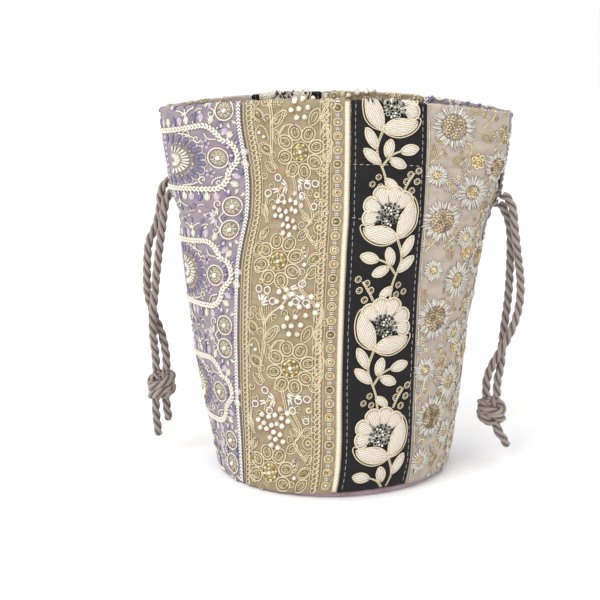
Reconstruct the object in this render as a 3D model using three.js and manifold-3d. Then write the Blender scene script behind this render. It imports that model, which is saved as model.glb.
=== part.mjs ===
// Drawstring reticule made of eight embroidered ribbons on a round base.
// Millimetres, +Z up, the front faces -Y, the base rests on Z = 0.
import * as THREE from 'three';
import { mergeVertices } from 'three/addons/utils/BufferGeometryUtils.js';
import Module from 'manifold-3d';

const wasm = await Module();
wasm.setup();
const { Manifold, Mesh } = wasm;

// Sizes of the bag
const HEIGHT = 230;
const BASE_DIAMETER = 145;
const RIM_WIDTH = 213;
const RIM_DEPTH = 69;
const RIM_DROOP_LEFT = 7;
const RIM_DROOP_RIGHT = 10;
const FOLD_DEPTH = 2.4;

// Cloth
const FABRIC = 1.4;
const SEAM_GAP = 0.3;
const BASE_CLOTH = 1.8;
const BASE_EDGE = 4;
const BASE_FOOT = { flatInset: 3, turnInset: 0.9, turnUp: 0.6, sideUp: 1.9, innerInset: 3.2, innerRise: 0.9 };
const HEM_STEP = 4;
const RIM_ROUND = 0.8;
const RIM_BEND = 0.9;
const WALL_SHARES = [0.052, 0.087, 0.152, 0.26, 0.39, 0.52, 0.652];

// Casing for the cords, between two rows of stitching
const CASING_DROP = 37;
const CASING_HEIGHT = 30;
const CASING_ROOM = 6.6;
const CASING_SEW = 1;
const CASING_SLOPE = 1.5;
const SLIT_WIDTH = 11;
const SLIT_END = 2;

// Cord
const CORD_DIAMETER = 5.5;
const CORD_SIDES = 8;
const CORD_SPACING = 6.5;
const KNOT_WIDTH = 20;
const KNOT_HEIGHT = 18.5;
const KNOT_FLATNESS = 0.86;
const KNOT_CORE = 0.94;

// Facets
const OVAL_STEPS = 360;
const COLUMN_TURN = 9;
const BASE_FACETS = 44;
const CASING_CORD_STEPS = 46;
const STRAND_STEPS = 20;
const TAIL_STEPS = 4;
const KNOT_FACETS = 12;

// Sections of the body: height as a share of HEIGHT, spread from the base's width to the rim's,
// girth as a share of the way from the base's girth to the rim's, lean sideways as a share of
// RIM_WIDTH and swing of the seams as a share of the girth
const SECTIONS = [
  { up: 0.0, spread: 0.0, full: 0.0, lean: -0.009, swing: -0.014 },
  { up: 0.019, spread: 0.038, full: 0.3, lean: -0.009, swing: -0.013 },
  { up: 0.052, spread: 0.079, full: 0.7, lean: -0.009, swing: -0.01 },
  { up: 0.087, spread: 0.109, full: 1.0, lean: -0.009, swing: -0.008 },
  { up: 0.152, spread: 0.179, full: 1.0, lean: -0.012, swing: -0.005 },
  { up: 0.26, spread: 0.285, full: 1.0, lean: -0.0165, swing: -0.003 },
  { up: 0.39, spread: 0.394, full: 1.0, lean: -0.0185, swing: -0.001 },
  { up: 0.52, spread: 0.506, full: 1.0, lean: -0.0155, swing: 0.0 },
  { up: 0.652, spread: 0.635, full: 1.0, lean: -0.0085, swing: 0.0 },
  { up: 0.709, spread: 0.721, full: 1.0, lean: -0.0035, swing: 0.0 },
  { up: 0.761, spread: 0.824, full: 1.0, lean: -0.0025, swing: 0.0 },
  { up: 0.826, spread: 0.885, full: 1.0, lean: -0.001, swing: 0.0 },
  { up: 0.9, spread: 0.945, full: 1.0, lean: 0.0, swing: 0.0 },
  { up: 1.0, spread: 1.0, full: 1.0, lean: 0.0, swing: 0.0 },
];

// Ribbons from the left seam round the front, each with its share of the half girth
const RIBBONS = [
  { name: 'lavender', share: 0.289, color: 0xaaa1b4 },
  { name: 'beige', share: 0.272, color: 0xcab795 },
  { name: 'black', share: 0.189, color: 0x4a4442 },
  { name: 'grey', share: 0.25, color: 0xb8b2ac },
];
const LEFT_SEAM = -0.262;

// The seam beside the lavender ribbon sways where the casing draws the cloth in
const SWAY = { around: -0.117, wide: 0.1, up: 0.77, tall: 0.2, shift: 0.012 };

// Soft dents and swells: place and reach round the girth, place and reach up the height, depth as a
// share of FOLD_DEPTH with a dent negative
const FOLDS = [
  { around: 0.228, wide: 0.035, up: 0.68, tall: 0.09, depth: -1.0 },
  { around: -0.245, wide: 0.03, up: 0.69, tall: 0.07, depth: -0.6 },
  { around: -0.125, wide: 0.035, up: 0.6, tall: 0.22, depth: -0.5 },
  { around: -0.055, wide: 0.04, up: 0.52, tall: 0.3, depth: 0.45 },
  { around: 0.018, wide: 0.03, up: 0.62, tall: 0.2, depth: -0.45 },
  { around: 0.065, wide: 0.035, up: 0.48, tall: 0.28, depth: 0.4 },
  { around: 0.118, wide: 0.03, up: 0.6, tall: 0.22, depth: -0.55 },
  { around: 0.32, wide: 0.04, up: 0.56, tall: 0.25, depth: -0.5 },
  { around: 0.41, wide: 0.05, up: 0.45, tall: 0.3, depth: 0.45 },
  { around: 0.5, wide: 0.035, up: 0.62, tall: 0.22, depth: -0.6 },
  { around: 0.6, wide: 0.05, up: 0.5, tall: 0.28, depth: 0.4 },
];

// Hand-chosen routes of the free cords, each from just outside its slit down to its knot
const ROUTES = {
  strand_right_outer: [
    [104.3, -7.6, 168.4], [107.4, -8.8, 162], [108.6, -9.6, 152], [110.6, -9.2, 138], [113.6, -7.2, 118],
    [113.6, -6.8, 103], [110.4, -8.2, 90], [103.8, -9.6, 75.5], [98, -7.4, 64], [94.8, -5.4, 53],
    [94.8, -4.8, 42.2],
  ],
  strand_right_inner: [
    [101.8, -4.2, 162.6], [104.8, -3.4, 157], [106.8, -3, 149], [107.6, -2.8, 138], [107.6, -1.8, 118],
    [107, -1.2, 103], [105.4, -1.6, 88], [104, -3, 75], [103.6, -4.2, 64], [101.6, -5, 52],
    [101.4, -5, 42.2],
  ],
  strand_left_outer: [
    [-104.8, 7.4, 176.2], [-108.2, 8.2, 170], [-109, 7.8, 161], [-111.6, 7.2, 150], [-116.6, 6.6, 138],
    [-118.2, 6.2, 121], [-118.2, 6.4, 106], [-115, 7, 93], [-110.4, 6.8, 80], [-107.8, 5.2, 67],
    [-107.7, 4.6, 56.8],
  ],
  strand_left_inner: [
    [-103.6, 2.4, 168], [-105.6, 0.6, 161], [-106.8, 0.4, 152], [-109, 0.4, 138], [-111.4, 0.3, 121],
    [-113.2, 0.3, 106], [-114.8, 0.6, 93], [-115, 1.8, 80], [-114.2, 3.6, 67], [-114, 4, 56.8],
  ],
};

// Knots, with their places, turns and the ends of cord below them
const KNOTS = [
  {
    name: 'knot_right',
    place: [98.2, -5.2, 32],
    turn: 14,
    strands: ['strand_right_outer', 'strand_right_inner'],
    tails: [
      [[98.2, -6.4, 30], [103.4, -7.2, 19.5], [109.2, -7.8, 9.6]],
      [[99.5, -3.6, 30], [102.5, 0.2, 20.5], [104.8, 2, 12.6]],
    ],
  },
  {
    name: 'knot_left',
    place: [-111, 4.4, 46.5],
    turn: -10,
    strands: ['strand_left_outer', 'strand_left_inner'],
    tails: [
      [[-113.6, 3.6, 44], [-115, 3, 32], [-113.6, 2.8, 13.2]],
      [[-108.6, 5.2, 44], [-108.4, 5.6, 34], [-107.2, 5.8, 22.4]],
    ],
  },
];

// Turns of cord over a knot: tilt and roll in degrees and lift as a share of KNOT_HEIGHT
const KNOT_TURNS = [
  { tilt: 14, roll: 18, lift: 0.17 },
  { tilt: -12, roll: -24, lift: -0.15 },
  { tilt: 68, roll: 30, lift: 0 },
];

// How a cord leaves the casing: distance past the slit as a share of SLIT_WIDTH, depth behind the cloth's
// face as a share of the cord's depth inside the casing, and share of the climb to its level there
const EXIT_STEPS = [
  { along: -0.077, depth: -0.234, climb: 0 },
  { along: 0, depth: 0.15, climb: 0 },
  { along: 0.173, depth: 0.602, climb: 0 },
  { along: 0.404, depth: 0.898, climb: 0 },
  { along: 0.663, depth: 1, climb: 0 },
  { along: 1.15, depth: 1, climb: 0.15 },
  { along: 1.73, depth: 1, climb: 0.45 },
  { along: 2.4, depth: 1, climb: 0.75 },
  { along: 3.1, depth: 1, climb: 0.95 },
];

// Sizes worked out from those above
const cordRadius = CORD_DIAMETER / 2;
const hemHeight = BASE_EDGE + SEAM_GAP;
const casingTop = HEIGHT - CASING_DROP;
const casingBottom = casingTop - CASING_HEIGHT;
const roomBottom = casingBottom + CASING_SEW;
const roomTop = casingTop - CASING_SEW;
const cordInset = FABRIC + CASING_ROOM / 2;
const lowCordHeight = roomBottom + CASING_SLOPE + cordRadius;
const middleCordHeight = lowCordHeight + CORD_SPACING;
const highCordHeight = middleCordHeight + CORD_SPACING;

// Value of a column of a table at a place along its first column
function lookUp(rows, place, column) {
  const after = rows.findIndex((row) => row.up >= place);
  if (after <= 0) return rows[after < 0 ? rows.length - 1 : 0][column];
  const low = rows[after - 1];
  const high = rows[after];
  const share = (place - low.up) / (high.up - low.up);
  return low[column] + (high[column] - low[column]) * share;
}

// Girth of an oval from its half axes
function ovalGirth(halfWidth, halfDepth) {
  const sum = halfWidth + halfDepth;
  const root = Math.sqrt((3 * halfWidth + halfDepth) * (halfWidth + 3 * halfDepth));
  return Math.PI * (3 * sum - root);
}

// Half depth of the oval that has a given half width and girth
function halfDepthFor(halfWidth, girth) {
  let low = 0;
  let high = girth / 2;
  for (let step = 0; step < 50; step += 1) {
    const middle = (low + high) / 2;
    if (ovalGirth(halfWidth, middle) < girth) low = middle;
    else high = middle;
  }
  return (low + high) / 2;
}

const ovals = new Map();

// Section of the body at a height, with the running length of its outline from the front centre
function ovalAt(height) {
  if (ovals.has(height)) return ovals.get(height);
  const up = height / HEIGHT;
  const halfWidth = (BASE_DIAMETER + (RIM_WIDTH - BASE_DIAMETER) * lookUp(SECTIONS, up, 'spread')) / 2;
  const baseGirth = Math.PI * BASE_DIAMETER;
  const rimGirth = ovalGirth(RIM_WIDTH / 2, RIM_DEPTH / 2);
  const girth = baseGirth + (rimGirth - baseGirth) * lookUp(SECTIONS, up, 'full');
  const halfDepth = halfDepthFor(halfWidth, girth);
  const lengths = [0];
  for (let step = 1; step <= OVAL_STEPS; step += 1) {
    const before = (2 * Math.PI * (step - 1)) / OVAL_STEPS;
    const after = (2 * Math.PI * step) / OVAL_STEPS;
    const dx = halfWidth * (Math.sin(after) - Math.sin(before));
    const dy = halfDepth * (Math.cos(after) - Math.cos(before));
    lengths.push(lengths[step - 1] + Math.hypot(dx, dy));
  }
  const oval = { halfWidth, halfDepth, lengths, lean: RIM_WIDTH * lookUp(SECTIONS, up, 'lean') };
  ovals.set(height, oval);
  return oval;
}

// Turn from the front centre, in radians, at a share of the girth
function turnAt(oval, around) {
  const { lengths } = oval;
  const wholeTurns = Math.floor(around);
  const length = (around - wholeTurns) * lengths[OVAL_STEPS];
  let low = 0;
  let high = OVAL_STEPS;
  while (high - low > 1) {
    const middle = Math.floor((low + high) / 2);
    if (lengths[middle] <= length) low = middle;
    else high = middle;
  }
  const share = (length - lengths[low]) / (lengths[high] - lengths[low]);
  return 2 * Math.PI * (wholeTurns + (low + share) / OVAL_STEPS);
}

// Share of the girth at a turn from the front centre
function aroundAt(oval, turn) {
  const { lengths } = oval;
  const wholeTurns = Math.floor(turn / (2 * Math.PI));
  const place = (turn / (2 * Math.PI) - wholeTurns) * OVAL_STEPS;
  const low = Math.min(Math.floor(place), OVAL_STEPS - 1);
  const length = lengths[low] + (lengths[low + 1] - lengths[low]) * (place - low);
  return wholeTurns + length / lengths[OVAL_STEPS];
}

// One at 0, falling smoothly to nothing at 1
function bump(distance) {
  return Math.abs(distance) < 1 ? (1 - distance * distance) ** 2 : 0;
}

// How far the cloth swells outwards at a place
function foldDepth(around, up) {
  return FOLDS.reduce((total, fold) => {
    const apart = around - fold.around;
    const nearest = apart - Math.round(apart);
    return total + fold.depth * FOLD_DEPTH * bump(nearest / fold.wide) * bump((up - fold.up) / fold.tall);
  }, 0);
}

// Point at a share of the girth, a height and an offset outwards from the cloth's face
function bodyPoint(around, height, outwards) {
  const oval = ovalAt(height);
  const up = height / HEIGHT;
  const sway = SWAY.shift * bump((around - SWAY.around) / SWAY.wide) * bump((up - SWAY.up) / SWAY.tall);
  const turn = turnAt(oval, around + lookUp(SECTIONS, up, 'swing') + sway);
  const across = Math.sin(turn);
  const normal = new THREE.Vector2(across / oval.halfWidth, -Math.cos(turn) / oval.halfDepth).normalize();
  const offset = outwards + foldDepth(around, up);
  const droop = (across > 0 ? RIM_DROOP_RIGHT : RIM_DROOP_LEFT) * across * across;
  const softened = THREE.MathUtils.smoothstep(height, casingBottom - CASING_HEIGHT, HEIGHT);
  return new THREE.Vector3(
    oval.lean + oval.halfWidth * across + normal.x * offset,
    -oval.halfDepth * Math.cos(turn) + normal.y * offset,
    height - droop * softened,
  );
}

// Half of the open width of a side slit at a height
function slitHalf(height) {
  const fromEnd = Math.min(height - roomBottom, roomTop - height);
  return (SLIT_WIDTH / 2) * THREE.MathUtils.clamp(fromEnd / SLIT_END, 0, 1);
}

// Rungs of a panel's section from hem to rim: height, offsets of the outer and inner faces, and behind the
// outer cloth the depth of the room for the cords where there is one
function panelRungs() {
  const facing = -2 * FABRIC;
  const wall = WALL_SHARES.map((share) => ({ height: share * HEIGHT, outer: 0, inner: -FABRIC }));
  const swollen = [roomBottom + CASING_SLOPE, lowCordHeight, middleCordHeight, highCordHeight];
  return [
    { height: hemHeight, outer: 0, inner: -FABRIC },
    ...wall,
    { height: casingBottom - HEM_STEP - FABRIC / 2, outer: 0, inner: -FABRIC },
    { height: casingBottom - HEM_STEP, outer: 0, inner: facing },
    { height: casingBottom, outer: 0, inner: facing },
    { height: roomBottom, outer: 0, inner: facing - FABRIC, room: 0 },
    ...[...swollen, roomTop - CASING_SLOPE].map((height) => (
      { height, outer: 0, inner: facing - CASING_ROOM, room: CASING_ROOM }
    )),
    { height: roomTop, outer: 0, inner: facing - FABRIC, room: 0 },
    { height: casingTop, outer: 0, inner: facing },
    { height: RIM_BEND * HEIGHT, outer: 0, inner: facing },
    { height: HEIGHT - RIM_ROUND, outer: 0, inner: facing },
    { height: HEIGHT, outer: -RIM_ROUND, inner: facing + RIM_ROUND },
  ];
}

// Places of a panel's columns as shares of its width, closer together where the sides turn
function panelColumns(from, to) {
  const oval = ovalAt(casingTop);
  const start = turnAt(oval, from);
  const end = turnAt(oval, to);
  const count = Math.max(3, Math.round(THREE.MathUtils.radToDeg(end - start) / COLUMN_TURN));
  const columns = [];
  for (let index = 0; index <= count; index += 1) {
    const around = aroundAt(oval, start + ((end - start) * index) / count);
    columns.push((around - from) / (to - from));
  }
  return columns;
}

// Closed mesh from a list of points and a list of triangles
function meshGeometry(points, triangles) {
  const geometry = new THREE.BufferGeometry();
  geometry.setAttribute('position', new THREE.Float32BufferAttribute(points.flatMap((p) => p.toArray()), 3));
  geometry.setIndex(triangles.flat());
  geometry.computeVertexNormals();
  return geometry;
}

// One ribbon's panel between two shares of the girth, with a slit at a side that lies on a side seam
function panelGeometry(from, to, slitAtStart, slitAtEnd) {
  const rungs = panelRungs();
  const rooms = rungs.filter(({ room }) => room !== undefined);
  const faces = [
    ...rungs.map(({ height, outer }) => ({ height, outwards: outer, slit: true })),
    ...rungs.map(({ height, inner }) => ({ height, outwards: inner })).reverse(),
    ...rooms.map(({ height, room }) => ({ height, outwards: -FABRIC - room, slit: room === 0 })),
    ...rooms.slice(1, -1).map(({ height }) => ({ height, outwards: -FABRIC, slit: true })).reverse(),
  ];
  const wallCount = 2 * rungs.length;
  const roomCount = faces.length - wallCount;
  const outerOf = (rung) => rung;
  const innerOf = (rung) => wallCount - 1 - rung;
  const roomInOf = (room) => wallCount + room;
  const roomOutOf = (room) => wallCount + ((roomCount - room) % roomCount);

  const columns = panelColumns(from, to);
  const girth = ovalAt(casingTop).lengths[OVAL_STEPS];
  const points = columns.flatMap((share) => faces.map(({ height, outwards, slit }) => {
    const open = slit ? slitHalf(height) : 0;
    const start = from + (SEAM_GAP / 2 + (slitAtStart ? open : 0)) / girth;
    const end = to - (SEAM_GAP / 2 + (slitAtEnd ? open : 0)) / girth;
    return bodyPoint(start + (end - start) * share, height, outwards);
  }));

  const triangles = [];
  const last = columns.length - 1;
  const addLoop = (first, count) => {
    for (let column = 0; column < last; column += 1) {
      for (let corner = 0; corner < count; corner += 1) {
        const a = column * faces.length + first + corner;
        const b = column * faces.length + first + ((corner + 1) % count);
        triangles.push([a, b + faces.length, b], [a, a + faces.length, b + faces.length]);
      }
    }
  };
  const addCaps = (...corners) => {
    const shift = last * faces.length;
    for (let corner = 1; corner < corners.length - 1; corner += 1) {
      const [a, b, c] = [corners[0], corners[corner], corners[corner + 1]];
      triangles.push([a, b, c], [a + shift, c + shift, b + shift]);
    }
  };
  addLoop(0, wallCount);
  addLoop(wallCount, roomCount);
  const firstRoom = rungs.indexOf(rooms[0]);
  for (let rung = 0; rung < rungs.length - 1; rung += 1) {
    const room = rung - firstRoom;
    if (room >= 0 && room < rooms.length - 1) {
      addCaps(outerOf(rung), outerOf(rung + 1), roomOutOf(room + 1), roomOutOf(room));
      addCaps(roomInOf(room), roomInOf(room + 1), innerOf(rung + 1), innerOf(rung));
    } else {
      const roomAbove = room === -1 ? [roomInOf(0)] : [];
      const roomBelow = room === rooms.length - 1 ? [roomInOf(room)] : [];
      const bottom = [innerOf(rung), ...roomBelow, outerOf(rung)];
      const top = [outerOf(rung + 1), ...roomAbove, innerOf(rung + 1)];
      if (roomBelow.length > 0) addCaps(...top, ...bottom);
      else addCaps(...bottom, ...top);
    }
  }
  return meshGeometry(points, triangles);
}

// Round base with its edge turned up against the ribbons
function baseGeometry() {
  const radius = BASE_DIAMETER / 2;
  const hem = ovalAt(hemHeight).halfDepth;
  const { flatInset, turnInset, turnUp, sideUp, innerInset, innerRise } = BASE_FOOT;
  const profile = [
    [0, 0], [radius - flatInset, 0], [radius - turnInset, turnUp], [radius, sideUp],
    [hem, BASE_EDGE], [hem - FABRIC, BASE_EDGE], [radius - FABRIC, BASE_CLOTH + innerRise],
    [radius - innerInset, BASE_CLOTH], [0, BASE_CLOTH],
  ].map(([x, y]) => new THREE.Vector2(x, y));
  const geometry = new THREE.LatheGeometry(profile, BASE_FACETS);
  return geometry.rotateX(Math.PI / 2);
}

// Solid tube of the cord along a list of points
function tubeGeometry(points, steps) {
  const section = new THREE.Shape(
    Array.from({ length: CORD_SIDES }, (unused, index) => {
      const turn = (2 * Math.PI * index) / CORD_SIDES;
      return new THREE.Vector2(cordRadius * Math.cos(turn), cordRadius * Math.sin(turn));
    }),
  );
  const curve = new THREE.CatmullRomCurve3(points, false, 'centripetal');
  return new THREE.ExtrudeGeometry(section, { steps, bevelEnabled: false, extrudePath: curve });
}

// Points of one drawcord inside the casing, from one mouth in its slit right round to the other
function casingCordPoints(seam, firstHeight, runHeight, lastHeight) {
  const girth = ovalAt(casingTop).lengths[OVAL_STEPS];
  const slitShare = SLIT_WIDTH / girth;
  const start = EXIT_STEPS.map(({ along, depth, climb }) => bodyPoint(
    seam + along * slitShare, firstHeight + (runHeight - firstHeight) * climb, -depth * cordInset,
  ));
  const end = EXIT_STEPS.map(({ along, depth, climb }) => bodyPoint(
    seam + 1 - along * slitShare, lastHeight + (runHeight - lastHeight) * climb, -depth * cordInset,
  )).reverse();
  const reach = (EXIT_STEPS[EXIT_STEPS.length - 1].along + 1) * slitShare;
  const oval = ovalAt(runHeight);
  const from = turnAt(oval, seam + reach);
  const to = turnAt(oval, seam + 1 - reach);
  const middle = [];
  for (let step = 0; step <= CASING_CORD_STEPS; step += 1) {
    const around = aroundAt(oval, from + ((to - from) * step) / CASING_CORD_STEPS);
    middle.push(bodyPoint(around, runHeight, -cordInset));
  }
  return [...start, ...middle, ...end];
}

// Manifold solid of a closed geometry
function solidOf(geometry) {
  const plain = new THREE.BufferGeometry();
  plain.setAttribute('position', geometry.getAttribute('position'));
  if (geometry.index) plain.setIndex(geometry.index);
  const merged = mergeVertices(plain, 1e-4);
  return new Manifold(new Mesh({
    numProp: 3,
    vertProperties: new Float32Array(merged.getAttribute('position').array),
    triVerts: new Uint32Array(merged.index.array),
  }));
}

// Three.js geometry of a manifold solid
function geometryOf(solid) {
  const mesh = solid.getMesh();
  const geometry = new THREE.BufferGeometry();
  geometry.setAttribute('position', new THREE.Float32BufferAttribute(mesh.vertProperties, 3));
  geometry.setIndex(new THREE.Uint32BufferAttribute(mesh.triVerts, 1));
  geometry.computeVertexNormals();
  return geometry;
}

// Overhand knot of both strands, about its own place: a core, the turns wound over it, the strands' necks
// and two tails
function knotGeometry({ place, turn, strands, tails }) {
  const ringRadius = KNOT_WIDTH / 2 - cordRadius;
  const core = new THREE.SphereGeometry(1, KNOT_FACETS, KNOT_FACETS / 2);
  core.rotateX(Math.PI / 2).scale(ringRadius, ringRadius * KNOT_FLATNESS, KNOT_HEIGHT * KNOT_CORE / 2);
  const turns = KNOT_TURNS.map(({ tilt, roll, lift }) => {
    const ring = new THREE.TorusGeometry(ringRadius, cordRadius, CORD_SIDES, KNOT_FACETS);
    ring.scale(1, KNOT_FLATNESS, 1);
    ring.rotateX(THREE.MathUtils.degToRad(tilt)).rotateY(THREE.MathUtils.degToRad(roll));
    return ring.translate(0, 0, lift * KNOT_HEIGHT);
  });
  [core, ...turns].forEach((geometry) => geometry.rotateZ(THREE.MathUtils.degToRad(turn)));
  const centre = vectorOf(place);
  const necks = strands.map((name) => {
    const end = vectorOf(ROUTES[name][ROUTES[name].length - 1]).sub(centre);
    const height = end.z - SEAM_GAP;
    const neck = new THREE.CylinderGeometry(cordRadius, cordRadius, height, CORD_SIDES);
    return neck.rotateX(Math.PI / 2).translate(end.x, end.y, height / 2);
  });
  const ends = tails.map((tail) => (
    tubeGeometry(tail.map((point) => vectorOf(point).sub(centre)), TAIL_STEPS)
  ));
  return geometryOf(Manifold.union([core, ...turns, ...necks, ...ends].map(solidOf)));
}

// Vector of a list of three numbers
function vectorOf([x, y, z]) {
  return new THREE.Vector3(x, y, z);
}

// Free strand from the casing cord's mouth along its chosen route
function strandGeometry(name, mouth, before) {
  const outwards = new THREE.Vector3().subVectors(mouth, before).setLength(SEAM_GAP);
  const start = mouth.clone().add(outwards);
  const lead = start.clone().addScaledVector(outwards, cordRadius / 2 / SEAM_GAP);
  const route = ROUTES[name].map(vectorOf);
  return tubeGeometry([start, lead, ...route], STRAND_STEPS);
}

// Named group inside another
function addGroup(parent, name) {
  const group = new THREE.Group();
  group.name = name;
  parent.add(group);
  return group;
}

// Named piece inside a group, in its material
function addPiece(group, name, geometry, material) {
  const mesh = new THREE.Mesh(geometry, material);
  mesh.name = name;
  group.add(mesh);
  return mesh;
}

const cordMaterial = new THREE.MeshStandardMaterial({ color: 0xa08b84, roughness: 0.45, metalness: 0 });
const baseMaterial = new THREE.MeshStandardMaterial({ color: 0xa98b92, roughness: 0.8, metalness: 0 });

const reticule = new THREE.Group();
reticule.name = 'reticule';

// Ribbon panels of the front and the back
const walls = addGroup(reticule, 'walls');
['front', 'back'].forEach((side, half) => {
  let from = LEFT_SEAM + half / 2;
  RIBBONS.forEach(({ name, share, color }, index) => {
    const to = from + share / 2;
    const material = new THREE.MeshStandardMaterial({ color, roughness: 0.75, metalness: 0 });
    const geometry = panelGeometry(from, to, index === 0, index === RIBBONS.length - 1);
    addPiece(walls, `${name}_panel_${side}`, geometry, material);
    from = to;
  });
});

const base = addPiece(reticule, 'base_disc', baseGeometry(), baseMaterial);
base.position.x = RIM_WIDTH * SECTIONS[0].lean;

// Drawcords, each with both ends out of the same side seam
const DRAWCORDS = [
  {
    side: 'right',
    seam: LEFT_SEAM + 0.5,
    heights: [middleCordHeight, lowCordHeight, lowCordHeight],
    strands: ['strand_right_outer', 'strand_right_inner'],
  },
  {
    side: 'left',
    seam: LEFT_SEAM,
    heights: [highCordHeight, highCordHeight, middleCordHeight],
    strands: ['strand_left_outer', 'strand_left_inner'],
  },
];
DRAWCORDS.forEach(({ side, seam, heights, strands }) => {
  const drawcord = addGroup(reticule, `drawcord_${side}`);
  const points = casingCordPoints(seam, ...heights);
  addPiece(drawcord, `casing_cord_${side}`, tubeGeometry(points, points.length), cordMaterial);
  const mouths = [points.slice(0, 2), points.slice(-2).reverse()];
  strands.forEach((name, index) => {
    addPiece(drawcord, name, strandGeometry(name, ...mouths[index]), cordMaterial);
  });
  const knot = KNOTS.find(({ name }) => name === `knot_${side}`);
  const tied = addPiece(drawcord, knot.name, knotGeometry(knot), cordMaterial);
  tied.position.set(...knot.place);
});

export default reticule;
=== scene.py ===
"""Drawstring reticule of embroidered ribbons on a round base, dressed over its CAD frame.

Shapes are worked out in millimetres as numpy arrays and put into meshes in metres.
"""

import sys

import logging
import math
from collections.abc import Sequence
from dataclasses import dataclass, field
from enum import Enum

import bpy
import numpy as np
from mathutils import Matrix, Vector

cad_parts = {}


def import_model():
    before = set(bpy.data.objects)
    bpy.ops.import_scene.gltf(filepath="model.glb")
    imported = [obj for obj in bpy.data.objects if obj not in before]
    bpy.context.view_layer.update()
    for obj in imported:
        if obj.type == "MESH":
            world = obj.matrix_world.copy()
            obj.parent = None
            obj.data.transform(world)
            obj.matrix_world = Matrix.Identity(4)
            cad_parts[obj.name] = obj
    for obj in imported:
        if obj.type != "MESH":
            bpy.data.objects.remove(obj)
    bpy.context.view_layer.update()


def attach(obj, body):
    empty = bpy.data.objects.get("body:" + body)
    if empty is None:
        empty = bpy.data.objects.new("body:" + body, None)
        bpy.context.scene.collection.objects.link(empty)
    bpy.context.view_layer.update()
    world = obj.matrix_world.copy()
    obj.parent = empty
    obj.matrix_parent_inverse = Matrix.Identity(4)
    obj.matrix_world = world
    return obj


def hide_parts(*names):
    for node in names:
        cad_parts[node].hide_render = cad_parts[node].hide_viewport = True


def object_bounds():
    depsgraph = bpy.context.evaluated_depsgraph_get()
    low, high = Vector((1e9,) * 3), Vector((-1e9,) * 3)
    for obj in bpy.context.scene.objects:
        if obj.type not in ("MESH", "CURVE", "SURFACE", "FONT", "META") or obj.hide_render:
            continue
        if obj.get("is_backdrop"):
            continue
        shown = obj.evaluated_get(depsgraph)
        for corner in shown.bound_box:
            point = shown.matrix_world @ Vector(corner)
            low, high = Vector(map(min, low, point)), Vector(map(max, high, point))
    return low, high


MM = 0.001
SEED = 11
LOG = logging.getLogger("reticule")

Array = np.ndarray


# Colour and nodes


def linear(colour: int) -> tuple[float, float, float, float]:
    """Turns an sRGB hex colour to linear light.

    Args:
        colour: The colour as 0xRRGGBB.

    Returns:
        Red, green, blue and an alpha of one.
    """
    parts = [((colour >> shift) & 255) / 255 for shift in (16, 8, 0)]
    flat = [p / 12.92 if p <= 0.04045 else ((p + 0.055) / 1.055) ** 2.4 for p in parts]
    return (*flat, 1.0)


def add_node(
    material: bpy.types.Material,
    kind: str,
    settings: dict[str, object] | None = None,
    values: dict[int | str, object] | None = None,
    links: dict[int | str, bpy.types.NodeSocket] | None = None,
) -> bpy.types.Node:
    """Adds a node to a material.

    Args:
        material: The material whose tree gets the node.
        kind: The node's Blender type.
        settings: Properties of the node itself.
        values: Values of its inputs, by name or number.
        links: Sockets that feed its inputs, by name or number.

    Returns:
        The new node.
    """
    tree = material.node_tree
    node = tree.nodes.new(kind)
    for name, value in (settings or {}).items():
        setattr(node, name, value)
    for name, value in (values or {}).items():
        node.inputs[name].default_value = value
    for name, socket in (links or {}).items():
        tree.links.new(socket, node.inputs[name])
    return node


def ramp_node(
    material: bpy.types.Material, factor: bpy.types.NodeSocket, colours: Sequence[tuple[float, int]]
) -> bpy.types.NodeSocket:
    """Adds a colour ramp.

    Args:
        material: The material whose tree gets the node.
        factor: The socket that it reads.
        colours: Places from 0 to 1 with their sRGB colours.

    Returns:
        The ramp's colour socket.
    """
    node = add_node(material, "ShaderNodeValToRGB", links={"Fac": factor})
    stops = node.color_ramp.elements
    while len(stops) < len(colours):
        stops.new(0.5)
    for stop, (place, colour) in zip(stops, colours):
        stop.position = place
        stop.color = linear(colour)
    return node.outputs["Color"]


# Finishes


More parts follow.
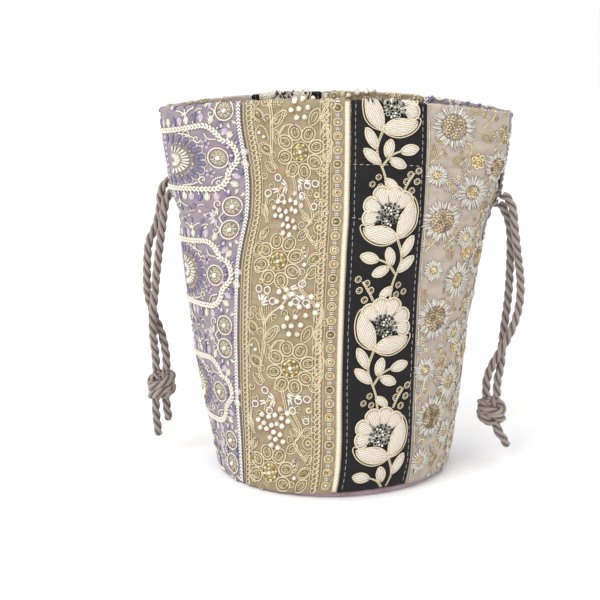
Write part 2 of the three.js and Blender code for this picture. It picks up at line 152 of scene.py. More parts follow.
@dataclass
class Surface:
    """A material's node tree, while a finish dresses it."""

    material: bpy.types.Material

    @property
    def shader(self) -> bpy.types.Node:
        """Returns the Principled shader."""
        return self.material.node_tree.nodes["Principled BSDF"]

    def place(self, space: str) -> bpy.types.NodeSocket:
        """Returns a texture coordinate: Object in metres, or UV in millimetres along the cloth or thread."""
        return add_node(self.material, "ShaderNodeTexCoord").outputs[space]

    def height(self) -> bpy.types.NodeSocket:
        """Returns the attribute "height", from 0 at the foot to 1 on top."""
        return add_node(self.material, "ShaderNodeAttribute", {"attribute_name": "height"}).outputs["Fac"]

    def noise(
        self, place: bpy.types.NodeSocket, scale: float, detail: float, roughness: float = 0.5
    ) -> bpy.types.NodeSocket:
        """Adds soft noise.

        Args:
            place: Coordinate that it reads.
            scale: Blotches in a unit of the coordinate.
            detail: Number of finer rounds.
            roughness: Strength of each finer round.

        Returns:
            The noise, around 0.5.
        """
        values = {"Scale": scale, "Detail": detail, "Roughness": roughness}
        node = add_node(self.material, "ShaderNodeTexNoise", values=values, links={"Vector": place})
        return node.outputs["Fac"]

    def calculate(self, operation: str, *terms: bpy.types.NodeSocket | float) -> bpy.types.NodeSocket:
        """Adds a Math node.

        Args:
            operation: Its operation.
            terms: Its inputs in order, sockets or numbers.

        Returns:
            Its result.
        """
        links = {slot: term for slot, term in enumerate(terms) if isinstance(term, bpy.types.NodeSocket)}
        values = {slot: term for slot, term in enumerate(terms) if slot not in links}
        return add_node(self.material, "ShaderNodeMath", {"operation": operation}, values, links).outputs[0]

    def stripes(self, across: float, along: float, bend: float = 0.0) -> bpy.types.NodeSocket:
        """Adds bands of thread on the piece's own UV map.

        Args:
            across: Threads in a millimetre of U.
            along: Threads in a millimetre of V.
            bend: How far noise bends the bands.

        Returns:
            The bands, from 0 between threads to 1 on top of them.
        """
        place = self.place("UV")
        way = {1: (across, along, 0.0)}
        setting = {"operation": "DOT_PRODUCT"}
        product = add_node(self.material, "ShaderNodeVectorMath", setting, way, {0: place})
        turned = product.outputs["Value"]
        if bend:
            turned = self.calculate("MULTIPLY_ADD", self.noise(place, 0.35, 2.0), bend, turned)
        sine = self.calculate("SINE", self.calculate("MULTIPLY", turned, 2 * math.pi))
        return self.calculate("MULTIPLY_ADD", sine, 0.5, 0.5)

    def lifted(self, pattern: bpy.types.NodeSocket) -> bpy.types.NodeSocket:
        """Returns a pattern darkened towards the cloth: painted shade at the foot of raised threads and
        padded patches, where threads shade each other.
        """
        # Painted shade: the attribute 'height' lowers the tone near the cloth.
        foot = self.calculate("MULTIPLY_ADD", self.height(), 0.7, -0.3)
        return self.calculate("MULTIPLY_ADD", pattern, 0.55, foot)

    def paint(self, tone: bpy.types.NodeSocket, stops: Sequence[tuple[float, int]]) -> None:
        """Colours the shader by a tone, through a ramp of places and sRGB colours."""
        colour = ramp_node(self.material, tone, stops)
        self.material.node_tree.links.new(colour, self.shader.inputs["Base Color"])

    def relief(self, height: bpy.types.NodeSocket, deep: float) -> None:
        """Bumps the surface.

        Args:
            height: The pattern, from 0 to 1.
            deep: Depth of the pattern in millimetres.
        """
        values = {"Strength": 1.0, "Distance": deep * MM}
        bump = add_node(self.material, "ShaderNodeBump", values=values, links={"Height": height})
        self.material.node_tree.links.new(bump.outputs["Normal"], self.shader.inputs["Normal"])

    def set(self, **values: float) -> None:
        """Sets constants on the shader's own sockets; an underscore stands for a space."""
        for name, value in values.items():
            self.shader.inputs[name.replace("_", " ")].default_value = value


@dataclass(frozen=True)
class Finish:
    """A material that is made once and kept by its name, between a light and a dark sRGB colour."""

    name: str
    light: int
    dark: int = 0

    def material(self) -> bpy.types.Material:
        """Finds the finish's material.

        Returns:
            The material, made when it is first asked for.
        """
        found = bpy.data.materials.get(self.name)
        if found is None:
            found = bpy.data.materials.new(self.name)
            found.use_nodes = True
            self.dress(Surface(found))
        return found

    def dress(self, surface: Surface) -> None:
        """Sets the shader and its pattern; each finish has its own."""
        raise NotImplementedError


@dataclass(frozen=True)
class WovenSilk(Finish):
    """Plain-woven dull silk: soft, slightly slubbed, with a low sheen.

    A real thread is about 0.15 mm, too fine to show, so threads are drawn `thread` mm apart.
    """

    thread: float = 0.7
    roughness: float = 0.8
    sheen: float = 0.25

    def dress(self, surface: Surface) -> None:
        """Weaves two sets of bands, mottles the colour and sets a soft sheen.

        Args:
            surface: Surface that is dressed.
        """
        pace = 1 / self.thread
        weft, warp = surface.stripes(pace, 0.0, 0.25), surface.stripes(0.0, pace, 0.25)
        cloth = surface.calculate("MULTIPLY", weft, warp)
        place, scale = {"Vector": surface.place("UV")}, {"Scale": (0.12, 0.2, 1.0)}
        slub = add_node(surface.material, "ShaderNodeMapping", values=scale, links=place)
        mottle = surface.noise(slub.outputs["Vector"], 1.0, 5.0, 0.6)
        tone = surface.calculate("MULTIPLY_ADD", cloth, 0.25, mottle)
        surface.paint(tone, [(0.3, self.dark), (0.85, self.light)])
        surface.set(Roughness=self.roughness, Sheen_Weight=self.sheen, Specular_IOR_Level=0.3)
        surface.relief(cloth, 0.12)


@dataclass(frozen=True)
class SatinFloss(Finish):
    """Satin stitch in untwisted rayon floss: long parallel strands that catch the light along them.

    Strands are drawn `strand` mm apart, about twice as coarse as the real ones, so that they show.
    """

    strand: float = 1.0
    roughness: float = 0.42

    def dress(self, surface: Surface) -> None:
        """Draws strands along V, with painted shade between them and near the cloth, and a silky gloss.

        Args:
            surface: Surface that is dressed.
        """
        strand = surface.stripes(1 / self.strand, 0.05, 1.2)
        # Painted shade: the dark colour fills the gaps between strands and the foot of each stitch and patch.
        surface.paint(surface.lifted(strand), [(0.1, self.dark), (0.85, self.light)])
        surface.set(Roughness=self.roughness, Specular_IOR_Level=0.6, Sheen_Weight=0.2)
        surface.relief(strand, 0.3)


@dataclass(frozen=True)
class TwistedThread(Finish):
    """Couched cord of two plies, in cotton or wrapped with metal foil: painted slanting highlights, with
    painted shade between the plies.
    """

    pitch: float = 1.3
    # Whether painted shade darkens the thread towards the cloth.
    shade_at_foot: bool = True
    metallic: float = 0.0
    roughness: float = 0.45

    def dress(self, surface: Surface) -> None:
        """Slants bands across the thread, one for each ply: painted highlights on the plies and painted shade
        between them.

        Args:
            surface: Surface that is dressed.
        """
        ply = surface.stripes(1 / self.pitch, 1 / self.pitch)
        # Painted highlights on the plies, painted shade between them and, for a raised thread, painted shade
        # near the cloth.
        surface.paint(surface.lifted(ply) if self.shade_at_foot else ply, [(0.1, self.dark), (0.75, self.light)])
        surface.set(Roughness=self.roughness, Metallic=self.metallic)
        surface.relief(ply, 0.15)


@dataclass(frozen=True)
class BeadGlass(Finish):
    """Pearl or opaque glass bead: smooth, with a clear skin over a slightly uneven colour."""

    roughness: float = 0.18

    def dress(self, surface: Surface) -> None:
        """Varies the colour from bead to bead and adds a clear coat.

        Args:
            surface: Surface that is dressed.
        """
        spots = surface.noise(surface.place("Object"), 260.0, 1.0)
        surface.paint(spots, [(0.35, self.dark), (0.6, self.light)])
        surface.set(Roughness=self.roughness, Coat_Weight=0.6, Coat_Roughness=0.08)
        surface.relief(spots, 0.05)


@dataclass(frozen=True)
class StampedFoil(Finish):
    """Gilt sequin or bead: thin plated metal, bright with small dents."""

    metallic: float = 0.85
    roughness: float = 0.28

    def dress(self, surface: Surface) -> None:
        """Tarnishes the metal a little by place and dents it.

        Args:
            surface: Surface that is dressed.
        """
        worn = surface.noise(surface.place("Object"), 420.0, 2.0)
        surface.paint(worn, [(0.35, self.dark), (0.62, self.light)])
        surface.set(Metallic=self.metallic, Roughness=self.roughness)
        surface.relief(worn, 0.08)


@dataclass(frozen=True)
class RayonRope(Finish):
    """Laid rayon cord: fine glossy yarns that run nearly straight along it, with painted shade in the
    grooves.
    """

    # Colour of the painted shade deep in the grooves.
    groove_shade: int = 0

    def dress(self, surface: Surface) -> None:
        """Draws yarns 0.55 mm apart and paints shade into the grooves, which the attribute 'height' marks;
        the tops of the plies are painted lightest.

        Args:
            surface: Surface that is dressed.
        """
        yarn = surface.stripes(1.8, 0.35, 0.8)
        blend = surface.calculate("MULTIPLY_ADD", yarn, 0.22, surface.height())
        surface.paint(blend, [(0.15, self.groove_shade), (0.62, self.dark), (1.0, self.light)])
        surface.set(Roughness=0.42, Specular_IOR_Level=0.6, Sheen_Weight=0.3)
        surface.relief(yarn, 0.15)


@dataclass(frozen=True)
class BrushedSuede(Finish):
    """Napped cloth of the base: matt, with a soft cloudy nap that is darker where it is rubbed."""

    def dress(self, surface: Surface) -> None:
        """Clouds the colour over centimetres and roughens it over tenths of a millimetre.

        Args:
            surface: Surface that is dressed.
        """
        place = surface.place("Object")
        surface.paint(surface.noise(place, 70.0, 4.0), [(0.35, self.dark), (0.65, self.light)])
        surface.set(Roughness=0.9, Sheen_Weight=0.6)
        surface.relief(surface.noise(place, 1800.0, 2.0), 0.2)


@dataclass(frozen=True)
class MattPaper(Finish):
    """Seamless studio paper of the floor."""

    def dress(self, surface: Surface) -> None:
        """Sets a plain matt colour."""
        surface.shader.inputs["Base Color"].default_value = linear(self.light)
        surface.set(Roughness=0.95, Specular_IOR_Level=0.1)


LAVENDER_SILK = WovenSilk("lavender_woven_silk", 0x9E929C, 0x796D76)
BEIGE_SILK = WovenSilk("beige_woven_silk", 0xAC9A7C, 0x84725A)
BLACK_SILK = WovenSilk("black_woven_silk", 0x1B1819, 0x0F0D0E, sheen=0.05)
GREY_SILK = WovenSilk("grey_woven_silk", 0xBFB2A2, 0x9A8D80)
LINING_SILK = WovenSilk("lining_woven_silk", 0xA99A90, 0x86776C)
# The dark colour of each satin floss is mostly painted shade between its strands and at its foot.
CREAM_SATIN = SatinFloss("cream_satin_floss", 0xEEE4D4, 0x5E503C)
BAND_SATIN = SatinFloss("cream_band_satin_floss", 0xF7EDD8, 0xCDBC9C, strand=0.9)
PURPLE_SATIN = SatinFloss("purple_satin_floss", 0x8A7EA0, 0x433A56)
PINK_SATIN = SatinFloss("pink_satin_floss", 0xDCCAD6, 0x8E7A90)
IVORY_SATIN = SatinFloss("ivory_satin_floss", 0xFAF5E8, 0x85795F)
SILVER_SATIN = SatinFloss("silver_satin_floss", 0xE9E2D5, 0x746D65)
GOLD_SATIN = SatinFloss("gold_satin_floss", 0xD8C195, 0x84693A)
# The dark colour of each couched cord is mostly painted shade between its plies and at its foot; the light
# one carries painted highlights.
CREAM_CORD = TwistedThread("cream_couched_cord", 0xF0E3C4, 0x6E5C3A)
IVORY_CORD = TwistedThread("ivory_couched_cord", 0xF9F3E4, 0x7D715C)
WHITE_CORD = TwistedThread("white_couched_cord", 0xFAF7F1, 0x8F8576)
GILT_CORD = TwistedThread("gilt_couched_cord", 0xF0E0BE, 0x654F2A)
OLD_GILT_CORD = TwistedThread("old_gilt_couched_cord", 0xE8D2A6, 0x70552E)
SEWING_COTTON = TwistedThread("white_sewing_cotton", 0xCFCBC4, 0x8F8B85, pitch=0.8, shade_at_foot=False)
PEARL = BeadGlass("pearl_bead", 0xEFE9E0, 0xC9BCAA)
GREEN_BEAD = BeadGlass("green_glass_bead", 0xB4B5A4, 0x4A4D40)
JET_BEAD = BeadGlass("jet_glass_bead", 0x2A2524, 0x0E0C0C, roughness=0.3)
PINK_BEAD = BeadGlass("pink_thread_bead", 0xC6AAC8, 0x8D7394, roughness=0.45)
KNOT_THREAD = BeadGlass("beige_french_knot", 0xCDB896, 0x7A6344, roughness=0.55)
GILT = StampedFoil("gilt_foil", 0xEEDDB4, 0xB5975F, metallic=0.4)
OLIVE_GILT = StampedFoil("olive_gilt_foil", 0xA8966A, 0x6C5E38, metallic=0.4)
# The rope's third colour is painted shade in the grooves between its plies.
CORD_RAYON = RayonRope("mauve_rayon_rope", 0xAA998F, 0x7C6B62, 0x241917)
BASE_CLOTH = BrushedSuede("mauve_brushed_base_cloth", 0xAA8B93, 0x8A6B75)
STUDIO_FLOOR = MattPaper("white_studio_paper", 0xF8F8F8)


# Meshes


@dataclass
class Heap:
    """Shapes gathered for one mesh: points, triangles and pattern places."""

    points: list[Array] = field(default_factory=list)
    faces: list[Array] = field(default_factory=list)
    places: list[Array] = field(default_factory=list)
    count: int = 0

    def add(self, points: Array, faces: Array, places: Array) -> None:
        """Adds a shape.

        Args:
            points: Its points, one row each.
            faces: Its triangles, as rows of three point numbers.
            places: Its pattern places, one row of two for each point.
        """
        self.points.append(points)
        self.faces.append(faces + self.count)
        self.places.append(places)
        self.count += len(points)

    def arrays(self) -> tuple[Array, Array, Array]:
        """Returns all points, all triangles and all pattern places."""
        return np.concatenate(self.points), np.concatenate(self.faces), np.concatenate(self.places)


def make_piece(
    name: str,
    points: Array,
    faces: Array,
    places: Array,
    finish: Finish,
    slot: str,
    height: Array | None = None,
) -> bpy.types.Object:
    """Makes a piece of the object from arrays.

    Args:
        name: The piece's name.
        points: Points in millimetres.
        faces: Triangles, facing outwards.
        places: UV place of each point, in millimetres along the cloth or thread.
        finish: Its finish.
        slot: Name of a material slot; not used.
        height: Value from 0 to 1 of each point, kept as the attribute 'height', which the thread and rope
            finishes use for painted shade.

    Returns:
        The piece, which rides with the bag.
    """
    mesh = bpy.data.meshes.new(name)
    corners = faces.astype(np.int32).ravel()
    mesh.vertices.add(len(points))
    mesh.vertices.foreach_set("co", (points * MM).astype(np.float32).ravel())
    mesh.loops.add(len(corners))
    mesh.loops.foreach_set("vertex_index", corners)
    mesh.polygons.add(len(faces))
    mesh.polygons.foreach_set("loop_start", np.arange(0, len(corners), 3, dtype=np.int32))
    mesh.polygons.foreach_set("loop_total", np.full(len(faces), 3, dtype=np.int32))
    mesh.polygons.foreach_set("use_smooth", np.ones(len(faces), dtype=bool))
    layer = mesh.uv_layers.new(name="UVMap")
    layer.data.foreach_set("uv", places[corners].astype(np.float32).ravel())
    if height is not None:
        data = mesh.attributes.new("height", "FLOAT", "POINT").data
        data.foreach_set("value", height.astype(np.float32))
    mesh.update(calc_edges=True)
    mesh.materials.append(finish.material())
    piece = bpy.data.objects.new(name, mesh)
    bpy.context.scene.collection.objects.link(piece)
    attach(piece, "root")
    LOG.info("%s: %d triangles", name, len(faces))
    return piece


def grid_faces(rows: int, columns: int, closed: bool = False) -> Array:
    """Triangles of a grid of points, row by row.

    Args:
        rows: Rows of points.
        columns: Points in each row.
        closed: Whether the last column joins the first.

    Returns:
        Two triangles for each cell.
    """
    row, column = np.meshgrid(
        np.arange(rows - 1), np.arange(columns if closed else columns - 1), indexing="ij"
    )
    a = (row * columns + column).ravel()
    b = (row * columns + (column + 1) % columns).ravel()
    c, d = a + columns, b + columns
    return np.concatenate([np.stack([a, b, d], 1), np.stack([a, d, c], 1)])


def tube_faces(rows: int, columns: int, closed: bool) -> Array:
    """Triangles of a tube, closed on itself or with a cap round each of two points added at its end.

    Args:
        rows: Number of its rings.
        columns: Points in a ring.
        closed: Whether it joins its own start.

    Returns:
        Triangles, facing outwards.
    """
    if closed:
        return grid_faces(rows + 1, columns, True) % (rows * columns)
    here = np.arange(columns)
    after, last = (here + 1) % columns, (rows - 1) * columns
    caps = [
        np.stack([np.full(columns, rows * columns), after, here], 1),
        np.stack([np.full(columns, rows * columns + 1), here + last, after + last], 1),
    ]
    return np.concatenate([grid_faces(rows, columns, True), *caps])


def sheet_faces(rows: int, columns: int) -> Array:
    """Triangles of a sheet: a grid, the same grid behind it and the four edges between them.

    Args:
        rows: Rows of the grid.
        columns: Columns of the grid.

    Returns:
        Triangles, the front grid's first and the back grid's next.
    """
    count = rows * columns
    number = np.arange(count).reshape(rows, columns)
    front = grid_faces(rows, columns)
    faces = [front, front[:, ::-1] + count]
    for line in (number[0, ::-1], number[:, 0], number[-1], number[::-1, -1]):
        a, b = line[:-1], line[1:]
        faces += [np.stack([a, b, b + count], 1), np.stack([a, b + count, a + count], 1)]
    return np.concatenate(faces)


def smooth_line(points: Array, step: float, closed: bool = False) -> Array:
    """Runs a smooth curve through points.

    The curve is a Catmull-Rom spline: between two points it is the cubic whose slope at each end is half
    the way from the neighbour before to the neighbour after. It is then sampled evenly along its length.

    Args:
        points: The points, one row each.
        step: Wanted distance between samples.
        closed: Whether the last point joins the first.

    Returns:
        Samples along the curve; a closed one doesn't repeat its first.
    """
    points = np.asarray(points, float)
    if closed:
        ring = np.concatenate([points[-1:], points, points[:2]])
    else:
        ring = np.concatenate([2 * points[:1] - points[1:2], points, 2 * points[-1:] - points[-2:-1]])
    before, start, end, after = ring[:-3, None], ring[1:-2, None], ring[2:-1, None], ring[3:, None]
    part = np.linspace(0, 1, 17)[None, :-1, None]
    low, high = (end - before) / 2, (after - start) / 2
    curve = (
        start * (2 * part**3 - 3 * part**2 + 1)
        + end * (3 * part**2 - 2 * part**3)
        + low * (part**3 - 2 * part**2 + part)
        + high * (part**3 - part**2)
    ).reshape(-1, points.shape[1])
    last = points[:1] if closed else points[-1:]
    curve = np.concatenate([curve, last])
    run = np.concatenate([[0], np.cumsum(np.linalg.norm(np.diff(curve, axis=0), axis=1))])
    count = max(3, int(round(run[-1] / step)))
    places = np.linspace(0, run[-1], count + 1)
    if closed:
        places = places[:-1]
    return np.stack([np.interp(places, run, column) for column in curve.T], 1)


def ball_template(sides: int, levels: int) -> tuple[Array, Array]:
    """Closed ball of radius one.

    Args:
        sides: Points round each level.
        levels: Levels between the poles.

    Returns:
        Points and triangles; the poles lie on the first axis.
    """
    tilt = np.linspace(0, np.pi, levels + 2)[1:-1]
    turn = np.arange(sides) * 2 * np.pi / sides
    level = np.stack(
        [
            np.repeat(np.cos(tilt), sides),
            np.outer(np.sin(tilt), np.cos(turn)).ravel(),
            np.outer(np.sin(tilt), np.sin(turn)).ravel(),
        ],
        1,
    )
    points = np.concatenate([level, [[1, 0, 0], [-1, 0, 0]]])
    side = np.arange(sides)
    after = (side + 1) % sides
    first, last = len(level), len(level) + 1
    shift = (levels - 1) * sides
    caps = [
        np.stack([np.full(sides, first), side, after], 1),
        np.stack([np.full(sides, last), after + shift, side + shift], 1),
    ]
    walls = [grid_faces(levels, sides, True)[:, [0, 2, 1]]] if levels > 1 else []
    return points, np.concatenate(walls + caps)


def ring_template(sides: int, section: int, thick: float, tall: float) -> tuple[Array, Array]:
    """Closed ring of outer radius one that lies flat.

    Args:
        sides: Steps round the ring.
        section: Points round its section.
        thick: Half width of the section as a share of the radius.
        tall: Half height of the section as a share of the radius.

    Returns:
        Points and triangles.
    """
    turn = np.repeat(np.arange(sides) * 2 * np.pi / sides, section)
    round_ = np.tile(np.arange(section) * 2 * np.pi / section, sides)
    radius = 1 - thick + thick * np.cos(round_)
    points = np.stack([radius * np.cos(turn), radius * np.sin(turn), tall * np.sin(round_)], 1)
    grid = grid_faces(sides + 1, section, True)
    return points, (grid % (sides * section))[:, [0, 2, 1]]


# The bag's surface


@dataclass
class BodyShape:
    """The bag's surface: ovals of nearly constant girth that flatten from a round base to a long rim."""

    height: float = 230.0
    base_diameter: float = 145.0
    rim_width: float = 213.0
    rim_depth: float = 69.0
    droop_left: float = 7.0
    droop_right: float = 10.0
    droop_from: float = 133.0
    fold_depth: float = 2.4
    casing_top: float = 193.0
    casing_bottom: float = 163.0
    hem_hang: float = 3.1
    hem_lift: float = 3.6
    hem_lift_place: float = 0.08
    hem_lift_reach: float = 0.17
    casing_pucker: float = 0.42
    hem_pucker: float = 0.35
    wall_wave: float = 0.3
    stitch_dent: float = 0.55
    stitch_dent_reach: float = 1.6
    # Where the seams sway: place and reach round the girth, place and reach up the height, and how far.
    sway: tuple[float, ...] = (-0.117, 0.1, 0.77, 0.2, 0.012)
    ups: Array = field(init=False)
    half_width: Array = field(init=False)
    half_depth: Array = field(init=False)
    lean: Array = field(init=False)
    swing: Array = field(init=False)
    turns: Array = field(init=False)
    girth: float = field(init=False)

    # Share of the height, then how far width and girth have gone from base to rim, lean and turn.
    SECTIONS = np.array([
        [0.0, 0.0, 0.0, -0.009, -0.014], [0.019, 0.038, 0.3, -0.009, -0.013],
        [0.052, 0.079, 0.7, -0.009, -0.01], [0.087, 0.109, 1.0, -0.009, -0.008],
        [0.152, 0.179, 1.0, -0.012, -0.005], [0.26, 0.285, 1.0, -0.0165, -0.003],
        [0.39, 0.394, 1.0, -0.0185, -0.001], [0.52, 0.506, 1.0, -0.0155, 0.0],
        [0.652, 0.635, 1.0, -0.0085, 0.0], [0.709, 0.721, 1.0, -0.0035, 0.0],
        [0.761, 0.824, 1.0, -0.0025, 0.0], [0.826, 0.885, 1.0, -0.001, 0.0],
        [0.9, 0.945, 1.0, 0.0, 0.0], [1.0, 1.0, 1.0, 0.0, 0.0],
    ])
    # Place and reach round the girth, place and reach up the height, and depth as a share of fold_depth.
    FOLDS = np.array([
        [0.228, 0.035, 0.68, 0.09, -1.0], [-0.245, 0.03, 0.69, 0.07, -0.6],
        [-0.125, 0.035, 0.6, 0.22, -0.5], [-0.055, 0.04, 0.52, 0.3, 0.45],
        [0.018, 0.03, 0.62, 0.2, -0.45], [0.065, 0.035, 0.48, 0.28, 0.4],
        [0.118, 0.03, 0.6, 0.22, -0.55], [0.32, 0.04, 0.56, 0.25, -0.5],
        [0.41, 0.05, 0.45, 0.3, 0.45], [0.5, 0.035, 0.62, 0.22, -0.6],
        [0.6, 0.05, 0.5, 0.28, 0.4],
    ])

    def __post_init__(self) -> None:
        """Tabulates the ovals at each millimetre of height, and the turn at each share of the girth.

        Half depth is found by halving: it is the one that gives the oval its girth by Ramanujan's rule.
        """
        self.ups = np.arange(0, self.height + 1)
        columns = [self.eased(column) for column in range(1, 5)]
        spread, full, lean, swing = columns
        self.half_width = (self.base_diameter + (self.rim_width - self.base_diameter) * spread) / 2
        base_girth = math.pi * self.base_diameter
        self.girth = float(self.oval_girth(self.rim_width / 2, self.rim_depth / 2))
        girths = base_girth + (self.girth - base_girth) * full
        low, high = np.zeros_like(girths), girths / 2
        for _ in range(40):
            middle = (low + high) / 2
            short = self.oval_girth(self.half_width, middle) < girths
            low, high = np.where(short, middle, low), np.where(short, high, middle)
        self.half_depth = (low + high) / 2
        self.lean, self.swing = lean * self.rim_width, swing
        turn = np.linspace(0, 2 * np.pi, 1441)
        steps = np.hypot(
            np.outer(self.half_width, np.diff(np.sin(turn))),
            np.outer(self.half_depth, np.diff(np.cos(turn))),
        )
        runs = np.concatenate([np.zeros((len(steps), 1)), np.cumsum(steps, 1)], 1)
        shares = np.linspace(0, 1, 1441)
        self.turns = np.stack([np.interp(shares * run[-1], run, turn) for run in runs])

    def eased(self, column: int) -> Array:
        """Returns a column of the sections at each millimetre, eased over 3 mm either way.

        Args:
            column: Number of the column.

        Returns:
            Its value at each millimetre of height.
        """
        spaced = np.arange(-12, self.height + 13) / self.height
        rows = self.SECTIONS
        values = np.interp(spaced, rows[:, 0], rows[:, column])
        weights = np.exp(-0.5 * (np.arange(-12, 13) / 3.0) ** 2)
        eased = np.convolve(values, weights / weights.sum(), "valid")
        keep = np.clip((self.ups - 3) / 12, 0, 1)
        return np.interp(self.ups / self.height, rows[:, 0], rows[:, column]) * (1 - keep) + eased * keep

    @staticmethod
    def oval_girth(wide: Array | float, deep: Array | float) -> Array | float:
        """Returns Ramanujan's girth of an oval from its half axes."""
        return np.pi * (3 * (wide + deep) - np.sqrt((3 * wide + deep) * (wide + 3 * deep)))

    @staticmethod
    def bump(apart: Array) -> Array:
        """Returns one at 0, falling smoothly to nothing at 1."""
        return np.where(np.abs(apart) < 1, (1 - apart**2) ** 2, 0.0)

    def level(self, table: Array, height: Array) -> Array:
        """Returns a table's value at a height."""
        return np.interp(height, self.ups, table)

    def turn_at(self, around: Array, height: Array) -> Array:
        """Turn from the front centre.

        Args:
            around: Share of the girth from the front centre.
            height: Height of the oval.

        Returns:
            The turn in radians, read from the table between its four nearest entries.
        """
        whole = np.floor(around)
        across = (around - whole) * (self.turns.shape[1] - 1)
        up = np.clip(height, 0, self.height)
        i = np.minimum(up.astype(int), len(self.ups) - 2)
        j = np.minimum(across.astype(int), self.turns.shape[1] - 2)
        p, q = up - i, across - j
        table = self.turns
        low = table[i, j] * (1 - q) + table[i, j + 1] * q
        high = table[i + 1, j] * (1 - q) + table[i + 1, j + 1] * q
        return 2 * np.pi * whole + low * (1 - p) + high * p

    def swell(self, around: Array, height: Array) -> Array:
        """How far the cloth swells outwards.

        The sum of smooth bumps of the CAD body, small waves drawn in by the cords, a dent along each row
        of stitching and puckers where the panels are gathered on the base.

        Args:
            around: Share of the girth.
            height: Height on the cloth.

        Returns:
            The swell in millimetres.
        """
        up = height / self.height
        total = np.zeros_like(up)
        for place, wide, high, tall, depth in self.FOLDS:
            apart = around - place
            apart = apart - np.round(apart)
            total += depth * self.fold_depth * self.bump(apart / wide) * self.bump((up - high) / tall)
        arc = around * self.girth
        ripple = np.sin(arc * 0.42 + 1.3 * np.sin(arc * 0.11)) * 0.5 + np.sin(arc * 0.23 + 0.03 * height)
        middle = (self.casing_top + self.casing_bottom) / 2
        total += self.casing_pucker * ripple * self.bump((height - middle) / 38)
        total += self.hem_pucker * np.sin(arc * 0.7 + 2 * np.sin(arc * 0.17)) * self.bump((height - 4) / 16)
        slant = np.sin(arc * 0.13 + 0.045 * height)
        total += self.wall_wave * slant * np.sin(0.05 * height + 0.6 + 0.02 * arc)
        for row in (self.casing_bottom, self.casing_top):
            total -= self.stitch_dent * np.exp(-(((height - row) / self.stitch_dent_reach) ** 2))
        return total

    def hem_drop(self, around: Array) -> Array:
        """Returns how far the ribbons hang past their hem, which leaves a crescent of base in front."""
        apart = (around - self.hem_lift_place) / self.hem_lift_reach
        return self.hem_hang - self.hem_lift * self.bump(apart)

    def place(self, around: Array, height: Array, outwards: Array) -> Array:
        """Point of the bag.

        Args:
            around: Share of the girth from the front centre, towards +X.
            height: Height on the cloth.
            outwards: Offset from the cloth's face along the oval's normal.

        Returns:
            Points in millimetres; the sides droop below the cloth's own height.
        """
        up = height / self.height
        centre, wide, high, tall, shift = self.sway
        sway = shift * self.bump((around - centre) / wide) * self.bump((up - high) / tall)
        turn = self.turn_at(around + self.level(self.swing, height) + sway, height)
        wide_now, deep_now = self.level(self.half_width, height), self.level(self.half_depth, height)
        across, ahead = np.sin(turn), np.cos(turn)
        nx, ny = across / wide_now, -ahead / deep_now
        long = np.hypot(nx, ny)
        offset = outwards + self.swell(around, height)
        droop = np.where(across > 0, self.droop_right, self.droop_left) * across**2
        part = np.clip((height - self.droop_from) / (self.height - self.droop_from), 0, 1)
        return np.stack(
            [
                self.level(self.lean, height) + wide_now * across + nx / long * offset,
                -deep_now * ahead + ny / long * offset,
                height - droop * part * part * (3 - 2 * part),
            ],
            -1,
        )


